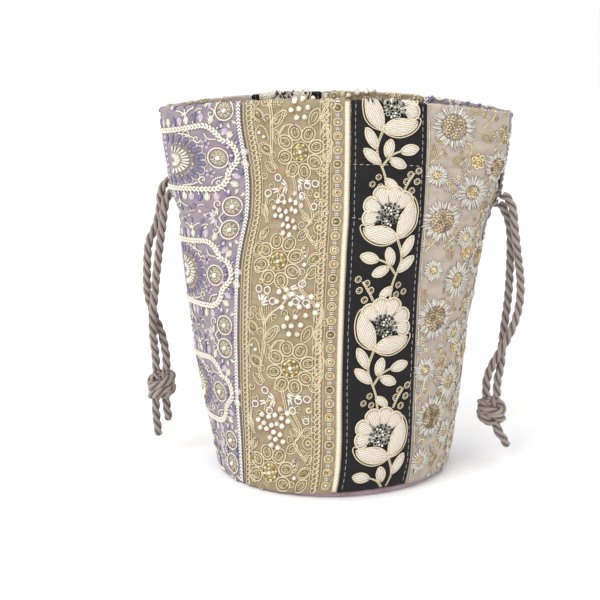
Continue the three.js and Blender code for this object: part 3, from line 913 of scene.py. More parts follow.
@dataclass
class Panel:
    """One ribbon from the hem up over the rim and down inside as a facing.

    A place on it is its distance from the left seam, its distance up the cloth and its rise from the
    cloth's face. Past the rim the distance up the cloth goes on, down the facing.
    """

    body: BodyShape
    name: str
    start: float
    share: float
    slit_left: bool
    slit_right: bool
    finish: Finish
    slot: str
    cloth: float = 1.4
    gap: float = 0.3
    hem: float = 4.3
    facing_end: float = 158.3
    rim_radius: float = 1.45
    room: float = 6.6
    room_low: float = 164.0
    room_high: float = 192.0
    slit_half: float = 5.5
    slit_reach: float = 14.0
    column_step: float = 2.2
    rung_step: float = 2.3

    @property
    def width(self) -> float:
        """Returns the ribbon's width."""
        return self.share * self.body.girth

    @property
    def top(self) -> float:
        """Returns how far up the cloth the facing ends."""
        return 2 * self.body.height - self.facing_end

    def place(self, across: Array, up: Array, rise: Array) -> Array:
        """Point over the panel.

        On the wall the rise is outwards. Round the rim it is along the radius of the fold. On the facing
        it is inwards, and the facing swells over the room for the cords. Beside a slit the cloth is
        pushed away from the seam, less and less over the slit's reach.

        Args:
            across: Distance from the left seam.
            up: Distance up the cloth.
            rise: Distance from the cloth's face.

        Returns:
            Points in millimetres.
        """
        across, up, rise = np.broadcast_arrays(
            np.asarray(across, float), np.asarray(up, float), np.asarray(rise, float)
        )
        tall, bend = self.body.height, self.rim_radius
        turn = np.clip((up - tall + bend) / (2 * bend), 0, 1) * np.pi
        on_wall, on_facing = up < tall - bend, up > tall + bend
        height = np.where(on_facing, 2 * tall - up, tall - bend + (bend + rise) * np.sin(turn))
        height = np.where(on_wall, up, height)
        low = np.clip((22 - height) / 18, 0, 1)
        height = height - low * self.body.hem_drop(self.start + across / self.body.girth)
        inside = (self.room_low, self.room_low + 3, self.room_high - 3, self.room_high)
        swollen = np.interp(height, inside, (0, 1, 1, 0))
        swollen = swollen * swollen * (3 - 2 * swollen) * self.room
        out = np.where(on_facing, -2 * bend - rise - swollen, -bend + (bend + rise) * np.cos(turn))
        out = np.where(on_wall, rise, out)
        open_ = np.clip(np.minimum(height - self.room_low, self.room_high - height) / 2, 0, 1)
        open_ = np.where(up < tall, open_, 0) * self.slit_half
        near = np.clip(1 - across / self.slit_reach, 0, 1) ** 2
        far = np.clip(1 - (self.width - across) / self.slit_reach, 0, 1) ** 2
        moved = across + open_ * (near * self.slit_left - far * self.slit_right)
        return self.body.place(self.start + moved / self.body.girth, height, out)

    def build(self, side: str) -> bpy.types.Object:
        """Makes the panel: a sheet of cloth folded over at the rim, with a face, a back and four edges.

        The face is a grid over distance across and distance up; the back is the same grid a cloth's
        thickness behind it. The face rounds off at the seams.

        Args:
            side: Front or back, for the name.

        Returns:
            The piece, which stands for the panel's CAD node.
        """
        inner = np.linspace(0, 1, max(8, int(self.width / self.column_step)) + 1)[1:-1]
        edge, half = np.array([0.0, 0.5, 1.2]), self.gap / 2
        span = self.width - 2 * half
        across = half + np.unique(np.concatenate([edge, inner * span, span - edge]).round(4))
        tall, bend = self.body.height, self.rim_radius
        rungs = (
            np.linspace(self.hem, tall - bend, int((tall - self.hem) / self.rung_step)),
            np.linspace(tall - bend, tall + bend, 9)[1:],
            np.linspace(tall + bend, self.top, int((self.top - tall) / self.rung_step))[1:],
        )
        rows = np.array([self.body.casing_bottom, self.body.casing_top])[:, None] + [-1.2, -0.4, 0.4, 1.2]
        up = np.sort(np.concatenate([*rungs, rows.ravel(), 2 * tall - rows.ravel()]))
        from_edge = np.minimum(across - half, span + half - across)
        round_off = -0.6 * np.exp(-((from_edge / 0.9) ** 2))
        grid_up, grid_across = np.meshgrid(up, across, indexing="ij")
        face = self.place(grid_across, grid_up, round_off[None, :])
        back = self.place(grid_across, grid_up, -self.cloth)
        rows, columns = grid_up.shape
        points = np.concatenate([face.reshape(-1, 3), back.reshape(-1, 3)])
        flat = np.stack([grid_across.ravel(), grid_up.ravel()], 1)
        name, places = f"{self.name}_ribbon_{side}", np.concatenate([flat, flat])
        piece = make_piece(name, points, sheet_faces(rows, columns), places, self.finish, self.slot)
        piece.data.materials.append(LINING_SILK.material())
        lined = np.zeros(len(piece.data.polygons), dtype=np.int32)
        front = len(grid_faces(rows, columns))
        lined[front : 2 * front] = 1
        piece.data.polygons.foreach_set("material_index", lined)
        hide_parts(f"{self.name}_panel_{side}")
        return piece


# Embroidery


@dataclass(frozen=True)
class Motif:
    """Place of a repeat on a ribbon. Its chart counts steps from its centre, to the right and up."""

    across: float
    up: float
    mirror: float = 1.0
    step_across: float = 0.45
    step_up: float = 0.45

    def at(self, chart: Sequence[tuple[float, float]]) -> Array:
        """Returns a chart's points as places on the ribbon."""
        steps = np.asarray(chart, float).reshape(-1, 2)
        return steps * [self.mirror * self.step_across, self.step_up] + [self.across, self.up]

    def grain(self, angle: float) -> float:
        """Returns a direction in degrees, mirrored with the motif."""
        return angle if self.mirror > 0 else 180 - angle


def dome(edge: Array, rise: float, lift: float = 0.0) -> tuple[Array, Array]:
    """Closed padded patch over a flat outline.

    The outline shrinks towards its middle while it climbs a quarter round, so that the edge is steep and
    the top nearly flat.

    Args:
        edge: Outline points in order.
        rise: Height of the top over the cloth.
        lift: Height of the outline over the cloth.

    Returns:
        Points of across, up and rise, and triangles.
    """
    x, y = edge.T
    if np.sum(x * np.roll(y, -1) - np.roll(x, -1) * y) < 0:
        edge = edge[::-1]
    middle = edge.mean(0)
    shares = np.array([1.0, 0.9, 0.62, 0.3])
    climbs = np.array([-0.12, 0.5, 0.88, 0.98]) * rise + lift
    flat = middle + (edge - middle) * shares[:, None, None]
    count = len(edge)
    levels = np.repeat(climbs, count)[:, None]
    points = np.concatenate([flat.reshape(-1, 2), middle[None], middle[None]])
    heights = np.concatenate([levels, [[rise + lift], [-0.15 * rise + lift]]])
    here = np.arange(count)
    after = (here + 1) % count
    top, bottom = 4 * count, 4 * count + 1
    faces = np.concatenate([
        grid_faces(4, count, True),
        np.stack([np.full(count, top), here + 3 * count, after + 3 * count], 1),
        np.stack([np.full(count, bottom), after, here], 1),
    ])
    return np.concatenate([points, heights], 1), faces


def rays(turns: Array) -> Array:
    """Returns the unit vector of each direction in radians."""
    return np.stack([np.cos(turns), np.sin(turns)], 1)


def circle(
    centre: Sequence[float], radius: float, count: int = 12, squash: float = 1.0, tilt: float = 0.0
) -> Array:
    """Points round an oval.

    Args:
        centre: Its middle.
        radius: Its half length.
        count: Number of points.
        squash: Its width as a share of its length.
        tilt: Turn of its length from the first axis, in degrees.

    Returns:
        The points in order.
    """
    turn = np.arange(count) * 2 * np.pi / count
    tilted = math.radians(tilt)
    x, y = radius * np.cos(turn), radius * squash * np.sin(turn)
    cosine, sine = math.cos(tilted), math.sin(tilted)
    return np.stack([x * cosine - y * sine, x * sine + y * cosine], 1) + np.asarray(centre, float)


def lens(base: Sequence[float], tip: Sequence[float], wide: float) -> Array:
    """Outline of a leaf from its base to its tip, widest a little past the middle.

    Args:
        base: Where it leaves its stem.
        tip: Its point.
        wide: Its greatest width.

    Returns:
        Points in order.
    """
    base, tip = np.asarray(base, float), np.asarray(tip, float)
    along = tip - base
    side = np.array([-along[1], along[0]]) / np.linalg.norm(along) * wide / 2
    shares = np.array([0.0, 0.12, 0.35, 0.6, 0.82, 0.96])
    swell = np.array([0.12, 0.55, 0.95, 1.0, 0.68, 0.22])
    right = base + along * shares[:, None] - side * swell[:, None]
    left = base + along * shares[:, None] + side * swell[:, None]
    return np.concatenate([right, tip[None], left[::-1]])


SPIRAL_TURN = 2.4
DROP = np.array([
    [0.0, 0.0], [0.3, -0.42], [0.62, -0.78], [0.95, -1.0], [1.3, -0.95], [1.65, -0.65], [1.9, -0.25],
    [1.9, 0.25], [1.65, 0.65], [1.3, 0.95], [0.95, 1.0], [0.62, 0.78], [0.3, 0.42],
])
BALL = ball_template(6, 3)
STITCH = ball_template(5, 2)
ROUND_BALL = ball_template(9, 5)
RING = ring_template(10, 4, 0.2, 0.2)
SEQUIN = ring_template(10, 4, 0.34, 0.1)


@dataclass
class Stitchwork:
    """Raised work on one ribbon, gathered by finish and laid over the ribbon's own surface."""

    panel: Panel
    chance: np.random.Generator
    heaps: dict[Finish, Heap] = field(default_factory=dict)
    # Rise over the cloth at which the painted shade at the foot ends.
    shade_fade_rise: float = 0.8
    large_bead: float = 1.2

    def heap(self, finish: Finish) -> Heap:
        """Returns the heap of a finish, made when it is first asked for."""
        return self.heaps.setdefault(finish, Heap())

    def inside(self, points: Array, side: float, low: float, high: float) -> Array:
        """Marks the flat points that lie on the ribbon, clear of its edges.

        Args:
            points: Flat places.
            side: Distance to keep from both sides.
            low: Distance to keep from the hem.
            high: Distance to keep from the facing's end.

        Returns:
            True for each point that does.
        """
        across, up = points[:, 0], points[:, 1]
        kept = (across > side) & (across < self.panel.width - side)
        return kept & (up > self.panel.hem + low) & (up < self.panel.top - high)

    def holds(self, points: Array) -> bool:
        """Returns whether all of a shape's flat points lie on the ribbon."""
        return bool(self.inside(points, 0.2, 0.3, 0.5).all())

    def thread(
        self,
        finish: Finish,
        points: Array,
        radius: float = 0.42,
        closed: bool = False,
        step: float = 1.35,
        lift: float = 0.0,
    ) -> None:
        """Couches a thread along a smooth line: a five-sided tube with rounded ends, half sunk at the foot.

        Args:
            finish: Its finish.
            points: Places on the ribbon that it passes.
            radius: Its radius.
            closed: Whether it joins its own start.
            step: Distance between its rings.
            lift: Height of its foot over the cloth.
        """
        line = smooth_line(points, step, closed)
        if not self.holds(line):
            kept = self.inside(line, 0.5, 0.5, 0.5)
            if closed or kept.sum() < 4:
                return
            first = int(np.argmax(kept))
            last = first + int(np.argmin(np.append(kept[first:], False)))
            line = line[first:last]
            if len(line) < 4:
                return
        along = np.roll(line, -1, 0) - np.roll(line, 1, 0) if closed else np.gradient(line, axis=0)
        along /= np.linalg.norm(along, axis=1, keepdims=True)
        side = np.stack([-along[:, 1], along[:, 0]], 1)
        turn = np.arange(5) * 2 * np.pi / 5 + 0.1 * np.pi
        rows = len(line)
        flat = line[:, None] + side[:, None] * (np.cos(turn) * radius)[None, :, None]
        rise = np.broadcast_to((0.75 + np.sin(turn)) * radius + lift, (rows, 5))
        points3 = np.concatenate([flat, rise[..., None]], 2).reshape(-1, 3)
        run = np.repeat(np.arange(rows) * step, 5)
        places = np.stack([np.tile(np.arange(5) * radius, rows), run], 1)
        if not closed:
            ends = np.array([[*(line[0] - along[0] * radius), 0.7 * radius + lift],
                             [*(line[-1] + along[-1] * radius), 0.7 * radius + lift]])
            points3 = np.concatenate([points3, ends])
            places = np.concatenate([places, [[0, 0], [0, rows * step]]])
        self.heap(finish).add(points3, tube_faces(rows, 5, closed), places)

    def patch(
        self,
        finish: Finish,
        outline: Array,
        rise: float = 0.9,
        grain: float = 90.0,
        edging: Finish | None = None,
        lift: float = 0.0,
        thick: float = 0.4,
    ) -> None:
        """Fills an outline with satin stitch, padded to a dome, with a cord round it if wanted.

        Args:
            finish: Finish of the floss.
            outline: Places on the ribbon that its edge passes.
            rise: Height of its top.
            grain: Direction of its strands, in degrees from across.
            edging: Finish of the cord round it.
            lift: Height of its edge.
            thick: Radius of the cord.
        """
        edge = smooth_line(outline, 1.25, closed=True)
        if not self.holds(edge):
            return
        points, faces = dome(edge, rise, lift)
        turn = math.radians(grain)
        along = points[:, :2] @ [math.cos(turn), math.sin(turn)]
        across = points[:, :2] @ [-math.sin(turn), math.cos(turn)]
        self.heap(finish).add(points, faces, np.stack([across, along], 1))
        if edging:
            self.thread(edging, edge, thick, closed=True, lift=lift)

    def stamp(
        self,
        finish: Finish,
        template: tuple[Array, Array],
        centres: Array,
        sizes: Array,
        turns: Array | float = 0.0,
        lifts: Array | float = 0.0,
    ) -> None:
        """Lays many copies of one small closed shape.

        Args:
            finish: Their finish.
            template: Points of a shape of size one, and its triangles.
            centres: Places on the ribbon.
            sizes: Size along, across and up, one row for each or one for all.
            turns: Direction of their length, in radians.
            lifts: Height of their middle over the cloth.
        """
        centres = np.atleast_2d(np.asarray(centres, float))
        kept = self.inside(centres, 0.6, 0.8, 0.8)
        if not kept.any():
            return
        count = len(centres)
        sizes = np.broadcast_to(np.asarray(sizes, float), (count, 3))[kept]
        turns = np.broadcast_to(np.asarray(turns, float), (count,))[kept]
        lifts = np.broadcast_to(np.asarray(lifts, float), (count,))[kept]
        centres = centres[kept]
        shape, faces = template
        sized = shape[None] * sizes[:, None]
        cosine, sine = np.cos(turns)[:, None], np.sin(turns)[:, None]
        points = np.stack([
            sized[..., 0] * cosine - sized[..., 1] * sine + centres[:, None, 0],
            sized[..., 0] * sine + sized[..., 1] * cosine + centres[:, None, 1],
            sized[..., 2] + lifts[:, None],
        ], -1).reshape(-1, 3)
        shifts = np.arange(len(centres))[:, None, None] * len(shape)
        places = (sized[..., [1, 0]] + turns[:, None, None] * 3).reshape(-1, 2)
        self.heap(finish).add(points, (faces[None] + shifts).reshape(-1, 3), places)

    def beads(self, finish: Finish, centres: Array, radius: float, lift: float | None = None) -> None:
        """Sews round beads at places, sunk a little unless lifted; large ones have more faces.

        Args:
            finish: Finish of the thread.
            centres: Their middles on the ribbon.
            radius: Its radius.
            lift: Height of the middle over the cloth.
        """
        high = radius * 0.7 if lift is None else lift
        shape = ROUND_BALL if radius > self.large_bead else BALL
        self.stamp(finish, shape, centres, (radius, radius, radius), 0.4, high)

    def stitches(self, finish: Finish, starts: Array, ends: Array, radius: float, lift: float = 0.15) -> None:
        """Makes straight stitches from starts to ends.

        Args:
            finish: Finish of the thread.
            starts: One end of each stitch.
            ends: Other end of each stitch.
            radius: Its radius.
            lift: Height of the middle over the cloth.
        """
        starts, ends = np.atleast_2d(starts), np.atleast_2d(ends)
        along = ends - starts
        half = np.hypot(*along.T) / 2
        sizes = np.stack([half, np.full_like(half, radius), np.full_like(half, radius)], 1)
        self.stamp(finish, STITCH, (starts + ends) / 2, sizes, np.arctan2(along[:, 1], along[:, 0]), lift)

    def rings(
        self, finish: Finish, centres: Array, radius: float, squash: float = 1.0, turns: Array | float = 0.0,
        lift: float = 0.3,
    ) -> None:
        """Lays small loops of cord flat on the cloth."""
        self.stamp(finish, RING, centres, (radius, radius * squash, radius), turns, lift)

    def sequins(self, finish: Finish, centres: Array, radius: float) -> None:
        """Lays round sequins with a hole."""
        self.stamp(finish, SEQUIN, centres, (radius, radius, radius), 0.0, 0.35)

    def drops(self, finish: Finish, bases: Array, turns: Array, long: float, wide: float) -> None:
        """Makes padded drops of satin stitch from their bases outwards."""
        shape = dome(DROP, 1.0)
        self.stamp(finish, shape, bases, (long / 1.9, wide / 2, 0.7), turns, 0.0)

    def coil(
        self, finish: Finish, centre: Sequence[float], radius: float, whole: float, start: float,
        thick: float = 0.4,
    ) -> None:
        """Couches a flat spiral of cord: its radius grows evenly with its turn.

        Args:
            finish: Finish of the thread.
            centre: Its middle on the ribbon.
            radius: Its radius.
            whole: Number of its turns.
            start: Its own turn, in degrees.
            thick: Radius of its cord.
        """
        turn = np.linspace(0.6, 2 * np.pi * whole, int(7 * whole) + 3)
        reach = radius * turn / turn[-1]
        direction = turn + math.radians(start)
        line = rays(direction) * reach[:, None] + np.asarray(centre)
        self.thread(finish, line, thick)

    def chain(self, finish: Finish, points: Array, pitch: float, wide: float) -> None:
        """Works a chain of loops that overlap like scales, each with a stitch on its shoulder.

        Args:
            finish: Finish of the thread.
            points: Flat places.
            pitch: Distance between its elements.
            wide: Its width.
        """
        line = smooth_line(points, pitch)
        self.rings(finish, line, wide / 2, 0.78, 0.5, 0.45)
        shoulder = np.array([wide * 0.42, pitch * 0.45])
        self.stitches(finish, line + [wide * 0.08, -pitch * 0.3], line + shoulder, 0.55, 0.75)

    def braid(self, finish: Finish, points: Array, wide: float, pitch: float = 1.9) -> None:
        """Lays a braid of two plies: plump slanting stitches that lean to the line from either side.

        Args:
            finish: Finish of the thread.
            points: Flat places.
            wide: Its width.
            pitch: Distance between its elements.
        """
        line = smooth_line(points, pitch)
        along = np.gradient(line, axis=0)
        angle = np.arctan2(along[:, 1], along[:, 0])
        side = np.stack([-np.sin(angle), np.cos(angle)], 1) * wide * 0.23
        for sign in (-1, 1):
            size = (pitch * 0.78, wide * 0.27, wide * 0.3)
            self.stamp(finish, STITCH, line + side * sign, size, angle - sign * 0.55, wide * 0.16)

    def wheel(self, finish: Finish, centre: Sequence[float], radius: float, spokes: int = 8) -> None:
        """Works a wheel: a rim of cord, spokes, a button in the middle and a ring of knots.

        Args:
            finish: Finish of the thread.
            centre: Its middle on the ribbon.
            radius: Its radius.
            spokes: Number of its spokes.
        """
        centre = np.asarray(centre, float)
        self.patch(IVORY_SATIN, circle(centre, radius * 0.9), 0.3, 30)
        self.thread(finish, circle(centre, radius), 0.5, closed=True)
        turn = np.arange(spokes) * 2 * np.pi / spokes + 0.2
        way = rays(turn)
        self.stitches(finish, centre + way * radius * 0.25, centre + way * radius * 0.85, 0.42, 0.3)
        self.beads(finish, centre[None], radius * 0.24)
        between = turn + np.pi / spokes
        way = rays(between)
        self.beads(KNOT_THREAD, centre + way * radius * 0.62, 0.6)

    def build(self, side: str) -> list[bpy.types.Object]:
        """Lays every heap over the ribbon and makes a piece of each.

        Args:
            side: Front or back, for the names.

        Returns:
            The pieces.
        """
        pieces = []
        for finish, heap in self.heaps.items():
            flat, faces, places = heap.arrays()
            points = self.panel.place(*flat.T)
            # The rise over the cloth, kept as 'height', paints shade near the cloth on satin and raised
            # cords.
            height = np.clip(flat[:, 2] / self.shade_fade_rise, 0, 1)
            name = f"{self.panel.name}_{finish.name}_{side}"
            pieces.append(make_piece(name, points, faces, places, finish, self.panel.slot, height))
        return pieces

    def casing_rows(self) -> None:
        """Sews the casing's two rows of running stitch, on the wall and on the facing behind it."""
        body = self.panel.body
        for row in (body.casing_bottom, body.casing_top):
            for up in (row, 2 * body.height - row):
                starts = np.arange(1.2, self.panel.width - 3.4, 3.7)
                wander = 0.12 * self.chance.standard_normal(len(starts))
                lay = np.stack([starts, up + wander], 1)
                self.stitches(SEWING_COTTON, lay, lay + [2.7, 0.1], 0.26, 0.12)


@dataclass
class BlackWork(Stitchwork):
    """Black ribbon: cream poppies with two cupped petals, leaves, rings of cord and edge lines."""

    places: tuple[tuple[float, float], ...] = (
        (24.0, 290.0), (24.0, 226.6), (23.2, 165.0), (23.4, 101.4), (23.0, 37.2), (23.0, -27.0),
    )
    edge_inset: float = 2.6
    cord: float = 0.42

    CROWN = ((190, 35), (154, 36), (113, 37), (77, 36.5), (43, 37))
    PETAL_HALF = 0.36
    PETAL_RIM = [(-0.8, 0.31), (-1.02, 0.66), (-0.86, 0.9), (-0.45, 0.99), (0, 1.02), (0.45, 0.99),
                 (0.86, 0.9), (1.02, 0.66), (0.8, 0.31)]
    LEFT_CUP = [(-33, -17), (-27, -16), (-16, -14.5), (-4, -15), (5, -20), (12, -29), (4, -34), (-7, -36),
                (-19, -33), (-29, -26)]
    RIGHT_CUP = [(29, 18), (22, 9), (15, 0), (12, -9), (11, -19), (13, -29), (24, -24), (32, -15),
                 (35, -2), (34, 10)]
    CUP_GRAINS = (-12, 62)
    LOOSE_CORDS = (
        [(12, -31), (4, -36.5), (-8, -39), (-20, -36), (-31, -28.5), (-37, -18), (-36.5, -12.5), (-33, -13)],
        [(12, -31), (25, -27), (35, -17), (38.5, -2), (37.5, 11), (33, 21), (28.5, 23), (27, 19)],
    )
    EYELETS = [(-15.5, -9), (-16, -3), (-14, 3.5), (-10.5, 9), (-5.5, 12.5), (0.5, 14), (6, 13.5),
               (11, 10.5), (13.5, 5.5)]
    EYE_BEADS = 30
    EYE_CENTRE = (-1, -2)
    EYE_SPREAD = 2.35
    STEMS = (
        [(12, -30), (18, -46), (19.5, -58), (15, -72), (9, -88), (6, -108)],
        [(12, -76), (5, -66), (-2, -60), (-12, -56)],
        [(-16, -108), (-21, -98), (-30, -84)],
    )
    LEAVES = (
        ((20, -54), (34, -27), 12), ((7, -64), (1, -41), 12), ((-11, -57), (-35, -51), 13),
        ((3, -67), (-19, -76), 12), ((15, -73), (37, -54), 12), ((9, -92), (-8, -104), 9.5),
    )
    THREE_RINGS = [(17, -90), (25, -99), (14.5, -102)]
    SPRAY = [(-25, -86), (-36, -81), (-19.5, -95), (-34, -95), (-27, -107)]

    def sew(self) -> None:
        """Sews the ribbon's whole repeat, every other motif mirrored."""
        for index, (across, up) in enumerate(self.places):
            motif = Motif(across, up, mirror=1.0 if index % 2 == 0 else -1.0)
            self.flower(motif)
            self.stem(motif)
        width, top = self.panel.width, self.panel.top
        for across in (self.edge_inset, width - self.edge_inset):
            starts = np.arange(self.panel.hem + 2, top - 5, 3.9)
            line = np.stack([across + 0.12 * self.chance.standard_normal(len(starts)), starts], 1)
            self.stitches(SEWING_COTTON, line, line + [0.0, 3.3], 0.2, 0.05)

    def flower(self, m: Motif) -> None:
        """Sews a poppy: five crown petals, two cups, eyelets and a cluster of beads.

        Args:
            m: Place of the repeat on the ribbon.
        """
        for angle, reach in self.CROWN:
            turn = math.radians(angle)
            rim = np.array(self.PETAL_RIM)
            chart = rays(turn + self.PETAL_HALF * rim[:, 0]) * reach * rim[:, 1:]
            self.patch(CREAM_SATIN, m.at(chart), 1.1, m.grain(angle))
            self.thread(CREAM_CORD, m.at(chart[1:-1]), 0.46, lift=0.3)
        for chart, grain in zip((self.LEFT_CUP, self.RIGHT_CUP), self.CUP_GRAINS):
            self.patch(CREAM_SATIN, m.at(chart), 1.5, m.grain(grain), CREAM_CORD, 0.1, 0.5)
        for chart in self.LOOSE_CORDS:
            self.thread(CREAM_CORD, m.at(chart), self.cord)
        self.beads(JET_BEAD, m.at(self.EYELETS), 0.85, 1.0)
        turn = np.arange(self.EYE_BEADS) * SPIRAL_TURN
        reach = self.EYE_SPREAD * np.sqrt(np.arange(self.EYE_BEADS) + 0.5)
        spots = m.at(np.stack([reach * np.cos(turn), reach * np.sin(turn)], 1) + self.EYE_CENTRE)
        self.rings(GREEN_BEAD, spots[::2], 1.3, lift=0.8)
        self.beads(GREEN_BEAD, spots[1::4], 0.95, 0.9)
        self.beads(PEARL, spots[3::4], 0.72, 1.0)

    def stem(self, m: Motif) -> None:
        """Sews the stem below a poppy with its leaves, three rings and a spray of five.

        Args:
            m: Place of the repeat on the ribbon.
        """
        for chart in self.STEMS:
            line = np.array(chart, float)
            for shift in (-0.85, 0.85):
                self.thread(CREAM_CORD, m.at(line + [shift, 0.3 * shift]), 0.38)
        for base, tip, wide in self.LEAVES:
            lean = math.degrees(math.atan2(tip[1] - base[1], tip[0] - base[0]))
            self.patch(CREAM_SATIN, m.at(lens(base, tip, wide)), 1.0, m.grain(lean), CREAM_CORD, 0.1, 0.46)
        for centres, radius in ((self.THREE_RINGS, 2.1), (self.SPRAY, 2.3)):
            self.rings(CREAM_CORD, m.at(centres), radius, 0.86, 0.7)
            self.rings(CREAM_CORD, m.at(centres), radius * 0.45)


@dataclass
class BeigeWork(Stitchwork):
    """Beige ribbon: gilt rosettes, grapes of pearls, scrolling stems, chain lines and a satin edge."""

    places: tuple[tuple[float, float], ...] = (
        (23.5, 264.0), (34.1, 200.4), (24.2, 139.0), (33.8, 77.5), (21.5, 15.0),
    )

    PEARLS = [(-19.6, 100), (-9, 103), (0, 97.6), (-10.6, 93), (14.3, 93), (27, 94.5), (-22.3, 87),
              (-1.9, 84.6), (-14.3, 80), (23.3, 82), (10.6, 81), (36.6, 83.5), (33.4, 73.6),
              (20, 69.7), (-6.4, 65.8),
              (5.3, 67.6), (-11, 54.8), (0, 56), (13.3, 57.4), (-3.2, 44.9), (8.7, 44.9)]
    GRAPES = [(15, 86), (26, 81.5), (-14, 76), (-3, 74.5), (7, 77.5), (17, 74.5), (27, 71), (-20, 68.5),
              (-11, 65), (1, 63), (10, 66), (17.5, 63.5), (-16.5, 58), (-7, 57.5), (4.5, 54), (14.5, 51.5),
              (-1.5, 46.5), (7.5, 44.5), (19, 43), (1, 36), (11.5, 34)]

    def sew(self) -> None:
        """Sews the whole ribbon: the field's repeats, then the lines at both edges."""
        for index, (across, up) in enumerate(self.places):
            motif = Motif(across, up, 1.0, 0.4, 0.44)
            self.rosette(np.array([across, up]))
            if index % 2:
                self.first_spray(motif)
            else:
                self.second_spray(motif)
        self.edges()

    def rosette(self, centre: Array) -> None:
        """Sews a rosette: eight round petals filled with coils, round an olive-gilt eye with beads.

        Args:
            centre: Its middle on the ribbon.
        """
        turn = np.arange(8) * np.pi / 4 + 0.25
        way = rays(turn) * [1.0, 1.1]
        for one, angle in zip(way, np.degrees(turn)):
            middle = centre + one * 10.4
            self.thread(GILT_CORD, circle(middle, 4.5, squash=0.88, tilt=angle), 0.48, closed=True)
            self.thread(GILT_CORD, circle(middle, 2.9, squash=0.8, tilt=angle), 0.44, closed=True)
            for bend in (-0.9, 0, 0.9):
                side = np.array([-one[1], one[0]]) * bend
                inner, outer = centre + one * 8.9 + side, centre + one * 12.0 + side * 1.6
                self.stitches(GOLD_SATIN, inner, outer, 0.45, 0.6)
        self.patch(OLIVE_GILT, circle(centre, 5.3), 1.0)
        self.thread(GILT_CORD, circle(centre, 5.7), 0.42, closed=True)
        self.beads(GILT, centre + way * 4.0, 0.9, 1.0)
        self.beads(GILT, centre + way[::2] * 2.1, 0.8, 1.3)
        self.beads(PEARL, centre[None], 1.25, 1.5)

    def leaf(self, m: Motif, base: tuple, tip: tuple, wide: float) -> None:
        """Outlines a leaf twice in gilt cord, with a vein.

        Args:
            m: Place of the repeat on the ribbon.
            base: Its foot, in the repeat's units.
            tip: Its tip, in the repeat's units.
            wide: Its width.
        """
        base_point, tip_point = np.array(base, float), np.array(tip, float)
        self.thread(GILT_CORD, m.at(lens(base, tip, wide)), 0.44, closed=True)
        inner = base_point * 0.8 + tip_point * 0.2, base_point * 0.2 + tip_point * 0.8
        self.thread(GILT_CORD, m.at(lens(*inner, wide * 0.5)), 0.4, closed=True)

    def buds(self, m: Motif, buds: Sequence[tuple], foot: tuple) -> None:
        """Sews white looped buds, each on a pair of white bars that lead towards a foot.

        Args:
            m: Place of the repeat on the ribbon.
            buds: Their middles, in the repeat's units.
            foot: Place that it grows from.
        """
        foot_point = m.at([foot])[0]
        for bud in buds:
            centre = m.at([bud])[0]
            way = (foot_point - centre) / np.linalg.norm(foot_point - centre)
            side = np.array([-way[1], way[0]])
            self.rings(WHITE_CORD, centre[None], 2.6, 0.9, math.atan2(way[1], way[0]), 0.5)
            for sign in (-1, 1):
                bar = centre + way * 2.6 + side * sign
                self.stitches(WHITE_CORD, bar, bar + way * 5.0 - side * 0.4 * sign, 0.6, 0.45)
            start = centre + way * 5
            self.thread(GILT_CORD, np.array([start, (start + foot_point) / 2, foot_point]), 0.42)

    def stems(self, m: Motif, charts: Sequence[Sequence[tuple]]) -> None:
        """Couches each stem as two gilt cords side by side.

        Args:
            m: Place of the repeat on the ribbon.
            charts: Places of each stem, in the repeat's units.
        """
        for chart in charts:
            line = np.array(chart, float)
            for shift in (-1.4, 1.4):
                self.thread(GILT_CORD, m.at(line + [shift, 0.3 * shift]), 0.44)

    def oval(self, m: Motif, centre: tuple, tilt: float) -> None:
        """Sews an olive-gilt oval sequin inside two loops of cord.

        Args:
            m: Place of the repeat on the ribbon.
            centre: Its middle, in the repeat's units.
            tilt: Turn of its length, in degrees.
        """
        spot = m.at([centre])[0]
        self.patch(OLIVE_GILT, circle(spot, 2.6, squash=0.6, tilt=tilt), 0.9)
        for radius in (3.4, 4.5):
            self.thread(GILT_CORD, circle(spot, radius, squash=0.68, tilt=tilt), 0.4, closed=True)

    def curls(self, m: Motif, curls: Sequence[tuple[float, float, float]]) -> None:
        """Fills gaps with coils of gilt cord, each with its own start."""
        for x, y, start in curls:
            self.coil(GILT_CORD, m.at([(x, y)])[0], 2.5, 1.7, start, 0.42)

